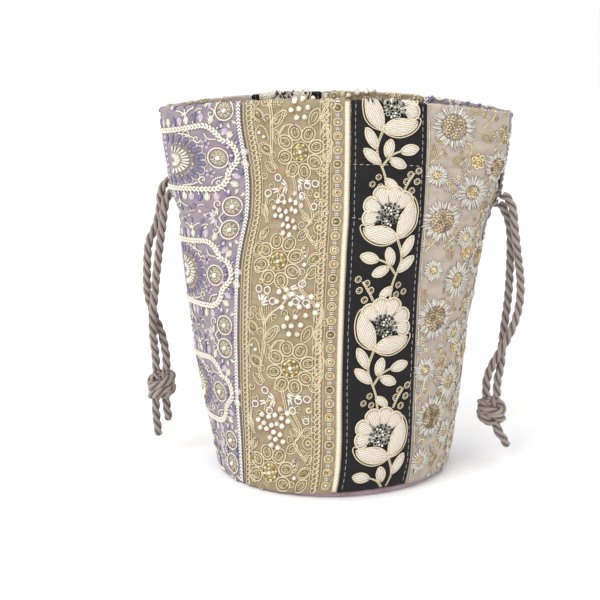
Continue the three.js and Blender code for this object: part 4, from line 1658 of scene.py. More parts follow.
    def first_spray(self, m: Motif) -> None:
        """Sews what stands round the first rosette of the repeat.

        Args:
            m: Place of the repeat on the ribbon.
        """
        self.beads(PEARL, m.at(self.PEARLS), 1.5)
        self.rings(OLD_GILT_CORD, m.at(self.PEARLS), 1.9)
        self.oval(m, (-60, 50), -52)
        self.oval(m, (-54, 5), -35)
        self.thread(GILT_CORD, m.at([(-66, 12), (-66, 27), (-58, 36), (-50, 30), (-47, 16)]), 0.42)
        self.beads(PEARL, m.at([(-60.5, 26.5), (-54.5, 21)]), 1.1)
        for shift in range(5):
            self.thread(GILT_CORD, m.at([(-46 + 3.6 * shift, 80), (-42 + 3 * shift, 58)]), 0.36)
        for base, tip, wide in (
            ((-42, 31), (-20, 54), 12), ((-33, 10), (-36, 30), 11), ((16, 34), (29, 56), 14),
            ((33, 20), (45, 35), 11), ((36, 4), (46, -12), 11), ((26, -22), (42, -30), 10),
            ((-28, -40), (-40, -62), 9), ((-58, -12), (-44, -26), 10), ((34, 60), (42, 78), 10),
        ):
            self.leaf(m, base, tip, wide)
        self.buds(m, [(-39.6, -33), (-56, -53), (-33, -60)], (-24, -44))
        self.buds(m, [(11.5, -43), (24.3, -41), (2.6, -57)], (-4, -36))
        self.rings(WHITE_CORD, m.at([(23, -70)]), 2.2, lift=0.5)
        self.sequins(GILT, m.at([(27, -55.6), (41, 48), (-22, -28)]), 2.0)
        self.stems(m, [
            [(-13, -30), (-9, -46), (-5, -62), (6, -78), (20, -92)],
            [(40, 88), (44, 68), (34, 46), (44, 22), (46, -6), (38, -24)],
            [(-48, 76), (-40, 50), (-44, 12), (-48, -8), (-40, -22)],
            [(-12, 36), (-22, 34), (-30, 24)],
        ])
        self.curls(m, [(-46, 46, 0), (-34, 42, 120), (36, 44, 60), (44, 10, 200), (-44, -4, 300),
                       (36, -8, 90), (-62, -30, 150), (40, -46, 30), (-50, 66, 80),
                       (-26, 66, 20), (-22, 50, 250), (-64, 66, 130), (-66, -4, 40), (-48, -66, 310),
                       (-14, -58, 70), (34, -66, 180), (48, 60, 220), (-38, 92, 60)])

    def second_spray(self, m: Motif) -> None:
        """Sews what stands round the second rosette of the repeat.

        Args:
            m: Place of the repeat on the ribbon.
        """
        self.beads(PEARL, m.at(self.GRAPES), 1.5)
        self.rings(OLD_GILT_CORD, m.at(self.GRAPES), 1.9)
        for base, tip, wide in (
            ((25, 28), (41, 40), 12), ((44, -22), (58, -6), 14), ((-24, 42), (-34, 26), 10),
            ((55, 14), (62, 28), 9), ((24, -34), (38, -44), 10), ((48, 54), (62, 62), 10),
            ((-30, 56), (-40, 72), 9), ((30, 60), (40, 52), 9),
        ):
            self.leaf(m, base, tip, wide)
        for radius in (9, 5.5):
            self.thread(GILT_CORD, m.at(circle((38, 12), radius, squash=0.6, tilt=80)), 0.4, closed=True)
        self.beads(PEARL, m.at([(37, 17), (38, 12), (39, 7)]), 0.8)
        self.beads(PEARL, m.at([(39, -4)]), 1.3)
        self.oval(m, (53, 3), 35)
        self.oval(m, (-34, 14), 80)
        self.sequins(GILT, m.at([(57, 43), (56, -46), (-24, -28)]), 2.0)
        self.thread(GILT_CORD, m.at(circle((57, 43), 8)), 0.4, closed=True)
        self.buds(m, [(-27, -38), (-14, -39), (-5, -53)], (-22, -58))
        self.buds(m, [(37, -29), (29, -52), (44, -54)], (16, -38))
        self.stems(m, [
            [(30, 88), (38, 76), (46, 60), (41, 48), (36, 42), (44, 30), (54, 20)],
            [(8, -32), (18, -44), (8, -58), (-8, -70), (-18, -84)],
            [(44, -16), (36, -34), (46, -46), (60, -60)],
            [(-32, 84), (-34, 66), (-28, 48)],
        ])
        self.curls(m, [(30, 46, 0), (50, 30, 120), (-30, -12, 60), (60, -24, 200), (36, -14, 300),
                       (-32, 34, 90), (52, 76, 150), (66, 62, 30), (-34, -66, 10), (30, -66, 100),
                       (62, -42, 140), (66, 6, 210), (42, 88, 40), (14, -68, 320), (-26, 96, 170)])

    def edges(self) -> None:
        """Sews the chain lines, the column of small elements and the satin band."""
        low, high = self.panel.hem + 2, self.panel.top - 3
        ups = np.array([low, (low + high) / 2, high])
        for across in (5.0, 49.6):
            self.chain(GILT_CORD, np.stack([np.full(3, across), ups], 1), 2.9, 4.6)
        for across in (1.6, 8.0, 46.4, 52.8):
            self.thread(GILT_CORD, np.stack([np.full(3, across), ups], 1), 0.36, step=2.4)
        spots = np.arange(low + 3, high - 3, 8.0)
        spots = np.stack([np.full_like(spots, 56.6), spots], 1)
        self.rings(GILT_CORD, spots, 3.1, 0.92)
        self.rings(GILT_CORD, spots[::2], 1.9, 0.9)
        self.stamp(GILT, BALL, spots[::2], (1.0, 1.0, 0.8), 0.0, 0.4)
        self.sequins(GILT, spots[1::4], 1.8)
        self.stamp(OLIVE_GILT, BALL, spots[3::4], (1.9, 1.3, 0.8), 0.0, 0.35)
        for shift in (3.5, 4.5):
            self.stitches(WHITE_CORD, spots + [-1.8, shift], spots + [1.8, shift], 0.38, 0.35)
        ups = np.linspace(self.panel.hem + 1, self.panel.top - 1, 120)
        right = np.stack([np.full(120, self.panel.width - 0.6), ups], 1)
        self.band(right - [3.2, 0], right)

    def band(self, left: Array, right: Array) -> None:
        """Covers the seam's edge with a satin band, a low arch between two edges.

        Args:
            left: Points of the band's left edge.
            right: Points of the band's right edge.
        """
        shares = np.linspace(0, 1, 7)[None, :, None]
        flat = left[:, None] * (1 - shares) + right[:, None] * shares
        rise = np.broadcast_to(-0.15 + 0.95 * np.sin(np.pi * shares[..., 0]) ** 0.6, flat.shape[:2])
        top = np.concatenate([flat, rise[..., None]], 2).reshape(-1, 3)
        foot = np.concatenate([flat, np.full((*flat.shape[:2], 1), -0.3)], 2).reshape(-1, 3)
        points = np.concatenate([top, foot])
        self.heap(BAND_SATIN).add(points, sheet_faces(*flat.shape[:2]), points[:, [1, 0]])


@dataclass
class LavenderWork(Stitchwork):
    """Lavender ribbon: arches of cream braid with a fringe of drops, purple lobes, wheels and sprigs."""

    arches: tuple[float, ...] = (267.8, 197.3, 126.5, 55.5, -15.5)

    ARCH = [(0.8, 17.8), (12, 18.2), (24, 18.8), (36, 19.8), (44.3, 20.4), (49.5, 18.0), (53.2, 14.0),
            (54.8, 11.0), (59.5, 9.4), (62.2, 4.8), (62.4, -0.6), (59, -4.6), (56.4, -8), (55.0, -13.0),
            (50, -17.6), (42, -18.4), (30, -18.4), (16, -18.6), (0.8, -18.6)]
    LOBES = [(17, 15), (22, 14.2), (27, 13), (31.6, 11.2), (35.6, 8.8), (38.6, 5.6), (40.2, 1.6),
             (40.2, -2.4), (38.6, -6.4), (35.6, -9.4), (31.6, -11.8), (27, -13.2), (22, -14.2), (17, -14.8)]
    CURLS = ((39.5, 12.6, 200), (41.0, -12.6, 120), (33, 15.6, 20), (50.6, -14.0, 250))
    SPRIGS = ([(44.6, 15.6), (46.6, 12.4), (51.6, 11.8)], [(46, -15.6), (47.6, -12.4), (52.6, -10.6)],
              [(27, 16.6), (33, 15.4), (37.6, 13.4)], [(28, -16.2), (34, -15.8), (38, -14.0)])
    DOTS = [(58.0, 6.8), (59.0, 4.4), (59.2, 1.9), (59.0, -0.6), (57.6, -3.0), (56.6, 9.0)]
    LEAVES = ((20, 4, 150), (24, -3, 20), (12, 3, 60), (8, -4, 200), (31, 2, 80), (37, 6, 160),
              (40, -6, 250), (30, -8, 300), (16, 9, 110), (42, 1, 10))

    def sew(self) -> None:
        """Sews every arch and what stands between them, then the braid on the seam."""
        for up in self.arches:
            self.arch(up)
            self.rosette(up)
            self.filling(up)
            self.between(up - 35.3)
        low, high = self.panel.hem + 1.5, self.panel.top - 1.5
        seam = self.panel.width - 1.7
        self.braid(WHITE_CORD, np.array([[seam, low], [seam, (low + high) / 2], [seam, high]]), 2.4, 2.0)

    def arch(self, up: float) -> None:
        """Sews the braid of an arch and the drops that stand on it, cream, purple and pink in turn.

        Args:
            up: Height of the repeat's middle up the ribbon.
        """
        line = np.array(self.ARCH) + [0, up]
        self.braid(IVORY_CORD, line, 3.3, 2.3)
        spots = smooth_line(line, 4.7)[1:-1]
        along = np.gradient(spots, axis=0)
        outward = np.arctan2(along[:, 1], along[:, 0]) + np.pi / 2
        way = rays(outward)
        for index, finish in enumerate((IVORY_SATIN, PURPLE_SATIN, PINK_SATIN)):
            chosen = slice(index, None, 3)
            self.drops(finish, (spots + way * 1.2)[chosen], outward[chosen], 6.4, 4.5)
        self.drops(IVORY_CORD, spots + way * 1.0, outward, 3.6, 1.2)
        for place in (6, len(spots) - 5):
            self.antler(spots[place] + way[place] * 6.2, outward[place])

    def antler(self, foot: Array, angle: float) -> None:
        """Sews a sprig with three branches, each with a purple tip.

        Args:
            foot: Place that it grows from.
            angle: Its direction, in radians.
        """
        spin = np.array([[math.cos(angle), math.sin(angle)], [-math.sin(angle), math.cos(angle)]])
        for bend in (-1, 0, 1):
            chart = np.array([(0, 0), (2.2, 0.5 * bend), (4.0, 3.2 * bend), (5.0, 6.2 * bend)]) @ spin + foot
            self.thread(IVORY_CORD, chart, 0.46)
            self.drops(PURPLE_SATIN, chart[-1:], np.array([angle + 0.8 * bend]), 3.4, 2.4)

    def rosette(self, up: float) -> None:
        """Sews a rosette: a rounded ivory eye in knots, two rounds of purple lobes and a pink column.

        Args:
            up: Height of the repeat's middle up the ribbon.
        """
        centre = np.array([25.5, up])
        turn = np.linspace(-0.5 * np.pi, 0.5 * np.pi, 13)
        ray = rays(turn)
        foot = centre - [3.5, 0]
        heel = [foot + [0, 7], foot - [1, 0], foot - [0, 7]]
        self.patch(IVORY_SATIN, np.concatenate([centre + ray * 8.6, heel]), 0.4, 80)
        for near, far in ((1.2, 4.6), (4.9, 9.4)):
            inner, outer = foot + ray * [1.25 * near, near], foot + ray * [1.35 * far, far]
            self.stitches(IVORY_SATIN, inner, outer, 0.75, 0.7)
        rim = centre + ray * 10.6
        self.beads(KNOT_THREAD, rim, 0.8, 0.6)
        spots = np.array(self.LOBES) + [0, up]
        away = np.arctan2(np.array(self.LOBES)[:, 1] * 1.1, np.array(self.LOBES)[:, 0] - 17.5)
        way = rays(away)
        self.drops(PURPLE_SATIN, spots - way * 4.4, away, 5.2, 3.4)
        self.drops(PURPLE_SATIN, spots - way * 0.6, away, 4.6, 4.0)
        for spot, angle in zip(spots, away):
            middle = spot + [1.2 * math.cos(angle), 1.2 * math.sin(angle)]
            arc = circle(middle, 2.9, 16, 0.85, math.degrees(angle))
            self.thread(IVORY_CORD, np.roll(arc, 4, 0)[:9], 0.36)
        for shift in np.arange(-13, 14, 3.6):
            bases = np.array([[8.6, up + shift], [12.6, up + shift + 1.8]])
            self.drops(PINK_SATIN, bases, np.array([0.2, 0.2]), 4.4, 3.2)
            self.rings(IVORY_CORD, np.array([[5.4, up + shift]]), 1.5)

    def filling(self, up: float) -> None:
        """Sews what fills the arch's right end: a wheel, two pink flowers, curls, sprigs and dots.

        Args:
            up: Height of the repeat's middle up the ribbon.
        """
        self.wheel(IVORY_CORD, (51.2, up + 0.6), 6.0)
        turn = np.arange(5) * 2 * np.pi / 5
        way = rays(turn)
        for across, shift in ((44.6, 9.4), (45.6, -8.4)):
            base = np.array([across, up + shift])
            self.drops(PINK_SATIN, base + way * 0.5, turn, 2.9, 2.1)
            self.beads(PURPLE_SATIN, base[None], 0.7, 0.8)
        for across, shift, start in self.CURLS:
            self.coil(IVORY_CORD, (across, up + shift), 2.7, 1.4, start, 0.46)
        for chart in self.SPRIGS:
            self.thread(IVORY_CORD, np.array(chart) + [0, up], 0.46)
        dots = np.array(self.DOTS) + [0, up]
        self.beads(PINK_BEAD, dots[::2], 1.15)
        self.beads(PURPLE_SATIN, dots[1::2], 1.15)

    def between(self, up: float) -> None:
        """Sews the pair of wheels between two arches with their curls and small leaves.

        Args:
            up: Height of the repeat's middle up the ribbon.
        """
        for sign in (1, -1):
            self.wheel(IVORY_CORD, (58.0, up + 6.9 * sign), 5.6)
            self.coil(IVORY_CORD, (49.6, up + 8.0 * sign), 2.9, 1.5, 90 * sign, 0.46)
            bases = np.array([(56.4, 13.4), (59.4, 13.6), (61.8, 12.8)]) * [1, sign] + [0, up]
            self.drops(IVORY_SATIN, bases, np.radians([115, 70, 30]) * sign, 4.2, 2.4)
            fork = [(53.4, up + 3.6 * sign), (51.8, up + 1.6 * sign), (50.4, up)]
            self.thread(IVORY_CORD, np.array(fork), 0.46)
        turns = np.radians([90, 126, 162, 198, 234, 270])
        way = rays(turns)
        foot = np.array([49.0, up])
        self.drops(IVORY_SATIN, (foot + way * 0.6)[::2], turns[::2], 5.0, 2.6)
        self.drops(PINK_SATIN, (foot + way * 0.6)[1::2], turns[1::2], 5.0, 2.6)
        self.beads(PURPLE_SATIN, np.array([(62.8, up + 1.8), (63.0, up - 1.6), (64.2, up), (53.6, up)]), 1.0)
        for across, shift, angle in self.LEAVES:
            spot = np.array([across, up + shift])
            self.drops(PURPLE_SATIN, spot[None], np.array([math.radians(angle)]), 3.6, 2.6)
            self.drops(IVORY_SATIN, spot[None] + [0.8, -1.4], np.array([math.radians(angle + 130)]), 3.2, 2.0)
            self.thread(IVORY_CORD, np.array([spot, spot + [2.0, 1.4], spot + [4.2, 1.0]]), 0.42)


@dataclass
class GreyWork(Stitchwork):
    """Grey ribbon: silver daisies, some with a knotted eye and some with an eye of gilt sequins."""

    knotted: tuple[tuple[float, float, float], ...] = (
        (16.4, 274.5, 14.0), (16.4, 217.3, 14.0), (11.6, 160.5, 13.2), (12.8, 102.2, 13.2),
        (14.4, 42.6, 13.2),
        (48.5, 244.0, 11.6), (49.5, 194.0, 11.6), (48.5, 134.0, 11.6), (48.5, 77.0, 11.6),
        (47.5, 21.0, 11.6),
    )
    gilt: tuple[tuple[float, float, float], ...] = (
        (31.5, 247.0, 11.0), (30.8, 177.4, 12.4), (28.4, 123.0, 12.2), (30.4, 60.6, 12.2),
        (31.0, 149.0, 8.0), (30.4, 91.0, 8.4), (30.0, 30.0, 8.4), (9.0, 131.0, 7.0), (7.5, 72.0, 8.4),
        (49.0, 160.5, 9.0), (50.0, 105.0, 9.0), (50.0, 48.0, 9.0), (6.6, 188.0, 7.4), (7.5, 17.0, 8.0),
    )
    fans: tuple[tuple[float, float, float], ...] = (
        (36.0, 226.5, 40), (43.5, 215.0, -10), (41.4, 200.0, 200), (27.5, 191.6, 160), (20.5, 187.0, 250),
        (14.0, 183.0, 220), (17.5, 178.5, 300), (44.0, 176.0, 20), (20.0, 143.0, 120), (41.5, 146.0, 40),
        (41.0, 116.0, 0), (18.5, 82.0, 80), (42.0, 92.0, 60), (20.0, 65.0, 200), (42.0, 60.0, 340),
        (20.5, 24.0, 240), (41.0, 38.0, 20), (33.0, 12.0, 270), (5.0, 240.0, 120), (27.0, 262.0, 60),
        (55.0, 214.0, 0), (55.0, 178.0, 60), (55.0, 120.0, 20), (55.0, 62.0, 350), (4.5, 146.0, 180),
        (4.5, 88.0, 160), (4.5, 56.0, 200), (44.0, 268.0, 90), (20.0, 237.0, 90),
        (10.0, 240.0, 60), (45.0, 238.0, 100), (54.0, 240.0, 80), (36.0, 237.0, 270), (28.0, 240.0, 90),
        (20.0, 112.0, 330), (41.0, 130.0, 180), (8.0, 29.0, 200), (24.0, 47.0, 30), (41.0, 50.0, 300),
        (7.0, 60.0, 160), (39.0, 27.0, 340), (22.0, 8.0, 270), (40.0, 9.0, 300), (53.0, 34.0, 20),
        (53.0, 66.0, 340), (23.0, 90.0, 90), (37.0, 79.0, 0), (7.0, 84.0, 150), (39.0, 104.0, 30),
    )

    def sew(self) -> None:
        """Sews every daisy, then the small petals, ovals and scrolls among them."""
        spiral = np.arange(52)
        turn = spiral * SPIRAL_TURN
        swirl = rays(turn) * np.sqrt(spiral / 52)[:, None]
        for across, up, radius in self.knotted:
            centre = np.array([across, up])
            self.daisy(centre, radius, radius * 0.5, 12)
            self.beads(KNOT_THREAD, centre + swirl * radius * 0.52, 0.8, 0.5)
        eye = np.concatenate([[[0, 0]], np.stack([np.cos(turn[:7] * 0.374), np.sin(turn[:7] * 0.374)], 1)])
        for across, up, radius in self.gilt:
            centre = np.array([across, up])
            large = radius > 10
            self.daisy(centre, radius, radius * 0.3, 10 if large else 7)
            self.sequins(GILT, centre + eye * (3.0 if large else 2.0), 1.5 if large else 1.2)
        seven = np.array([33.6, 197.5]) + eye * 3.6
        for shift in (0, -57.5, -115, 57.5):
            self.sequins(GILT, seven + [0, shift], 1.9)
        for across, up, angle in self.fans:
            centre = np.array([across, up])
            turns = np.radians(angle + np.arange(-60, 61, 20))
            way = rays(turns)
            self.stitches(SILVER_SATIN, centre + way * 1.2, centre + way * 5.6, 0.55, 0.3)
            self.sequins(GILT, centre[None], 1.6)
        self.scrolls()

    def daisy(self, centre: Array, radius: float, eye: float, petals: int) -> None:
        """Sews a daisy's petals: each is seven straight silver stitches that spread outwards, then a gap.

        Args:
            centre: Its middle on the ribbon.
            radius: Its radius.
            eye: Radius of its eye.
            petals: Number of its petals.
        """
        part = np.tile((np.arange(7) - 3) / 3, petals)
        wander = self.chance.standard_normal((2, len(part)))
        sector = np.repeat(np.arange(petals), 7) + 0.42 * part + 0.05 * wander[0]
        turn = sector * 2 * np.pi / petals + centre[1]
        reach = radius * (1 - 0.16 * part**2) * (1 + 0.06 * wander[1])
        way = rays(turn)
        self.stitches(SILVER_SATIN, centre + way * (eye + 0.2), centre + way * reach[:, None], 0.52, 0.45)

    def scrolls(self) -> None:
        """Sews gilt ovals, rings and curling lines of beads in the gaps between the daisies."""
        for across, up, tilt in (
            (38.5, 212.5, -18), (52, 218, 60), (20, 198, 20), (42, 168, 60), (20, 140, 100), (40, 108, 70),
            (22, 76, 60), (40, 72, 110), (22, 56, 30), (38, 44, 80), (3.8, 202, 90), (3.8, 116, 90),
            (22, 14, 40),
            (30, 229, 20), (4, 254, 70), (55, 232, 60), (56, 172, 80), (56, 114, 100), (56, 56, 80),
            (4, 32, 80),
        ):
            for radius in (2.6, 4.2):
                loop = circle((across, up), radius, squash=0.55, tilt=tilt)
                self.thread(OLD_GILT_CORD, loop, 0.36, closed=True)
        curl = np.array([(-4, -5), (-1, -2), (2.6, 1.6), (4.2, 5.6), (3.2, 8.8), (0.8, 9.2), (0.4, 7.2)])
        for across, up in (
            (24, 199), (42, 186), (19, 150), (40, 142), (20, 114), (38, 100), (20, 69), (42, 66), (20, 50),
            (22, 20), (38, 14), (6, 200), (5, 146), (23, 236), (44, 262), (6, 246), (3, 58), (3, 92),
            (38, 156),
            (24, 104), (26, 44), (40, 224), (48, 210),
        ):
            spots = smooth_line(curl + [across, up], 1.5)
            self.beads(GILT, spots, 0.62, 0.4)
            self.rings(OLD_GILT_CORD, np.array([[across + 5.4, up + 1.0], [across - 2.4, up + 4.0]]), 1.3)
        low, high = self.panel.hem + 1, self.panel.top - 1
        self.thread(SILVER_SATIN, np.array([[1.3, low], [1.3, (low + high) / 2], [1.3, high]]), 0.4, step=2.4)


# Ropes and knots


class Lay(Enum):
    """Way a rope's grooves wind."""

    LEFT = -1.0
    RIGHT = 1.0


@dataclass
class Rope:
    """Three-ply cord: the outline of three round plies, turned steadily along its line."""

    diameter: float = 5.5
    pitch: float = 20.0
    lay: Lay = Lay.LEFT
    ply_radius: float = 1.34
    ring_step: float = 0.9
    ply_points: int = 8

    def surface(
        self, line: Array, reference: Sequence[float], closed: bool = False, ease: float = 0.0
    ) -> tuple[Array, Array, Array, Array]:
        """Surface of the rope along a line.

        At a turn t from a ply's own middle the radius is c cos t + sqrt(q^2 - c^2 sin^2 t), with q the
        ply's radius and c its distance from the rope's middle. The section turns by one whole turn in
        each pitch.

        Args:
            line: Points that the rope follows, evenly spaced.
            reference: Direction that the line never takes, from which its frames are built.
            closed: Whether the rope joins its own start.
            ease: Length over which its ends are drawn in, 0 for a blunt end.

        Returns:
            Points, triangles, pattern places and the height above the grooves from 0 to 1.
        """
        along = np.gradient(line, axis=0)
        if closed:
            along = np.roll(line, -1, 0) - np.roll(line, 1, 0)
        along /= np.linalg.norm(along, axis=1, keepdims=True)
        side = np.cross(np.asarray(reference, float), along)
        side /= np.linalg.norm(side, axis=1, keepdims=True)
        other = np.cross(along, side)
        gaps = np.linalg.norm(np.diff(line, axis=0), axis=1)
        run = np.concatenate([[0], np.cumsum(gaps)])
        whole = run[-1] + (np.linalg.norm(line[-1] - line[0]) if closed else 0)
        pitch = whole / max(1, round(3 * whole / self.pitch)) * 3 if closed else self.pitch
        middle = self.diameter / 2 - self.ply_radius
        part = (np.arange(self.ply_points) / self.ply_points - 0.5) * 2 * np.pi / 3
        radius = middle * np.cos(part) + np.sqrt(self.ply_radius**2 - (middle * np.sin(part)) ** 2)
        low = radius.min()
        # Height above the grooves, which the rope's finish turns into painted shade.
        height = np.tile((radius - low) / (self.diameter / 2 - low), 3)
        radius = np.tile(radius, 3)
        turn = np.concatenate([part + 2 * np.pi * ply / 3 for ply in range(3)])
        angle = turn[None, :] + self.lay.value * 2 * np.pi * run[:, None] / pitch
        scale = np.ones(len(line))
        if ease:
            left = np.minimum(run, run[-1] - run) / ease
            scale = np.sqrt(np.clip(1 - (1 - np.clip(left, 0, 1)) ** 2, 0.002, 1))
        out = radius[None, :] * scale[:, None]
        points = (
            line[:, None]
            + side[:, None] * (out * np.cos(angle))[..., None]
            + other[:, None] * (out * np.sin(angle))[..., None]
        ).reshape(-1, 3)
        rows, columns = len(line), len(turn)
        wrapped = np.tile(np.tile(part, 3) * 4.2, rows)
        places = np.stack([wrapped, np.repeat(run, columns)], 1)
        heights = np.tile(height, rows)
        if not closed:
            points = np.concatenate([points, line[:1], line[-1:]])
            places = np.concatenate([places, [[0, 0], [0, run[-1]]]])
            # The end caps' centres get 0.3, partway into the painted groove shade.
            heights = np.concatenate([heights, [0.3, 0.3]])
        return points, tube_faces(rows, columns, closed), places, heights


@dataclass
class Drawcord:
    """One drawcord: its run in the casing, two free strands and the knot that ties them."""

    side: str
    body: BodyShape
    seam: float
    heights: tuple[float, float, float]
    strands: dict[str, list[tuple[float, float, float]]]
    knot_place: tuple[float, float, float]
    knot_turn: float
    tails: list[list[tuple[float, float, float]]]
    turns: tuple[tuple[float, float, float], ...]
    rope: Rope = field(default_factory=Rope)
    inset: float = 4.7
    slit_width: float = 11.0
    knot_width: float = 20.0
    knot_height: float = 18.5
    knot_flatness: float = 0.86

    EXITS = np.array([
        [-0.077, -0.234, 0], [0, 0.15, 0], [0.173, 0.602, 0], [0.404, 0.898, 0], [0.663, 1, 0],
        [1.15, 1, 0.15], [1.73, 1, 0.45], [2.4, 1, 0.75], [3.1, 1, 0.95],
    ])

    def casing_line(self) -> Array:
        """Returns the cord's line inside the casing, from one mouth in its slit round to the other.

        Returns:
            Points of the line.
        """
        first, run, last = self.heights
        along, depth, climb = self.EXITS.T
        share = self.slit_width / self.body.girth
        start = self.body.place(
            self.seam + along * share, first + (run - first) * climb, -depth * self.inset
        )
        end = self.body.place(
            self.seam + 1 - along * share, last + (run - last) * climb, -depth * self.inset
        )[::-1]
        reach = (along[-1] + 1) * share
        around = np.linspace(self.seam + reach, self.seam + 1 - reach, 60)
        middle = self.body.place(around, np.full(60, run), np.full(60, -self.inset))
        return np.concatenate([start, middle, end])

    def build(self) -> list[bpy.types.Object]:
        """Makes the cord's pieces, its free strands among them.

        Returns:
            The pieces.
        """
        casing = smooth_line(self.casing_line(), 1.6)
        parts = self.rope.surface(casing, (0, 0, 1))
        inside = make_piece(f"casing_rope_{self.side}", *parts[:3], CORD_RAYON, "satin_cord", parts[3])
        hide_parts(f"casing_cord_{self.side}")
        knot = self.build_knot()
        pieces = [inside, knot]
        for name, route in self.strands.items():
            line = smooth_line(np.array(route), self.rope.ring_step)
            parts = self.rope.surface(line, (0, 1, 0))
            strand = make_piece(f"{name}_rope", *parts[:3], CORD_RAYON, "satin_cord", parts[3])
            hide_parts(name)
            pieces.append(strand)
        return pieces

    def build_knot(self) -> bpy.types.Object:
        """Makes the knot: turns of rope round a core, the strands' necks above and two tails below.

        Returns:
            The knot's piece.
        """
        heap, heights = Heap(), []
        centre = np.array(self.knot_place)
        radius = self.knot_width / 2 - self.rope.diameter / 2
        spin = turned("z", self.knot_turn)
        round_ = np.arange(56) * 2 * np.pi / 56
        circle = np.stack([np.cos(round_), self.knot_flatness * np.sin(round_), 0 * round_], 1) * radius
        for tilt, roll, lift in self.turns:
            turn = spin @ turned("y", roll) @ turned("x", tilt)
            line = circle @ turn.T + centre + [0, 0, lift * self.knot_height]
            parts = self.rope.surface(line, turn @ [0, 0, 1], closed=True)
            heap.add(*parts[:3])
            heights.append(parts[3])
        ball, faces = ball_template(20, 11)
        core = ball * [radius * 0.9, radius * self.knot_flatness * 0.9, self.knot_height * 0.3]
        heap.add(core @ spin.T + centre, faces, ball[:, :2] * radius)
        # A height of 0.25 paints the core, under the turns of rope, near the painted groove shade.
        heights.append(np.full(len(ball), 0.25))
        for route in self.strands.values():
            end = np.array(route[-1])
            neck = smooth_line(np.array([end - [0, 0, 0.3], (end + centre) / 2, centre]), 0.9)
            parts = self.rope.surface(neck, (0, 1, 0))
            heap.add(*parts[:3])
            heights.append(parts[3])
        for tail in self.tails:
            parts = self.rope.surface(smooth_line(np.array(tail), 0.8), (0, 1, 0), ease=2.5)
            heap.add(*parts[:3])
            heights.append(parts[3])
        piece = make_piece(
            f"knot_{self.side}_rope", *heap.arrays(), CORD_RAYON, "satin_cord", np.concatenate(heights)
        )
        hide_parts(f"knot_{self.side}")
        return piece


def turned(axis: str, degrees: float) -> Array:
    """Rotation matrix.

    Args:
        axis: The axis, x, y or z.
        degrees: The turn.

    Returns:
        A 3 by 3 matrix.
    """
    cosine, sine = math.cos(math.radians(degrees)), math.sin(math.radians(degrees))
    first, second = {"x": (1, 2), "y": (2, 0), "z": (0, 1)}[axis]
    matrix = np.eye(3)
    matrix[first, first] = matrix[second, second] = cosine
    matrix[first, second], matrix[second, first] = -sine, sine
    return matrix


STRANDS_RIGHT = {
    "strand_right_outer": [
        (101.2, -7.2, 170.6), (104.3, -7.6, 168.4), (107.4, -8.8, 162), (108.6, -9.6, 152),
        (110.6, -9.2, 138), (113.6, -7.2, 118), (113.6, -6.8, 103), (110.4, -8.2, 90),
        (103.8, -9.6, 75.5), (98, -7.4, 64), (94.8, -5.4, 53), (94.8, -4.8, 42.2),
    ],
    "strand_right_inner": [
        (100, -4.2, 165), (101.8, -4.2, 162.6), (104.8, -3.4, 157), (106.8, -3, 149),
        (107.6, -2.8, 138), (107.6, -1.8, 118), (107, -1.2, 103), (105.4, -1.6, 88), (104, -3, 75),
        (103.6, -4.2, 64), (101.6, -5, 52), (101.4, -5, 42.2),
    ],
}
STRANDS_LEFT = {
    "strand_left_outer": [
        (-102, 7.2, 177.8), (-104.8, 7.4, 176.2), (-108.2, 8.2, 170), (-109, 7.8, 161),
        (-111.6, 7.2, 150), (-116.6, 6.6, 138), (-118.2, 6.2, 121), (-118.2, 6.4, 106),
        (-115, 7, 93), (-110.4, 6.8, 80), (-107.8, 5.2, 67), (-107.7, 4.6, 56.8),
    ],
    "strand_left_inner": [
        (-101, 3.6, 170.6), (-103.6, 2.4, 168), (-105.6, 0.6, 161), (-106.8, 0.4, 152),
        (-109, 0.4, 138), (-111.4, 0.3, 121), (-113.2, 0.3, 106), (-114.8, 0.6, 93), (-115, 1.8, 80),
        (-114.2, 3.6, 67), (-114, 4, 56.8),
    ],
}


# Base


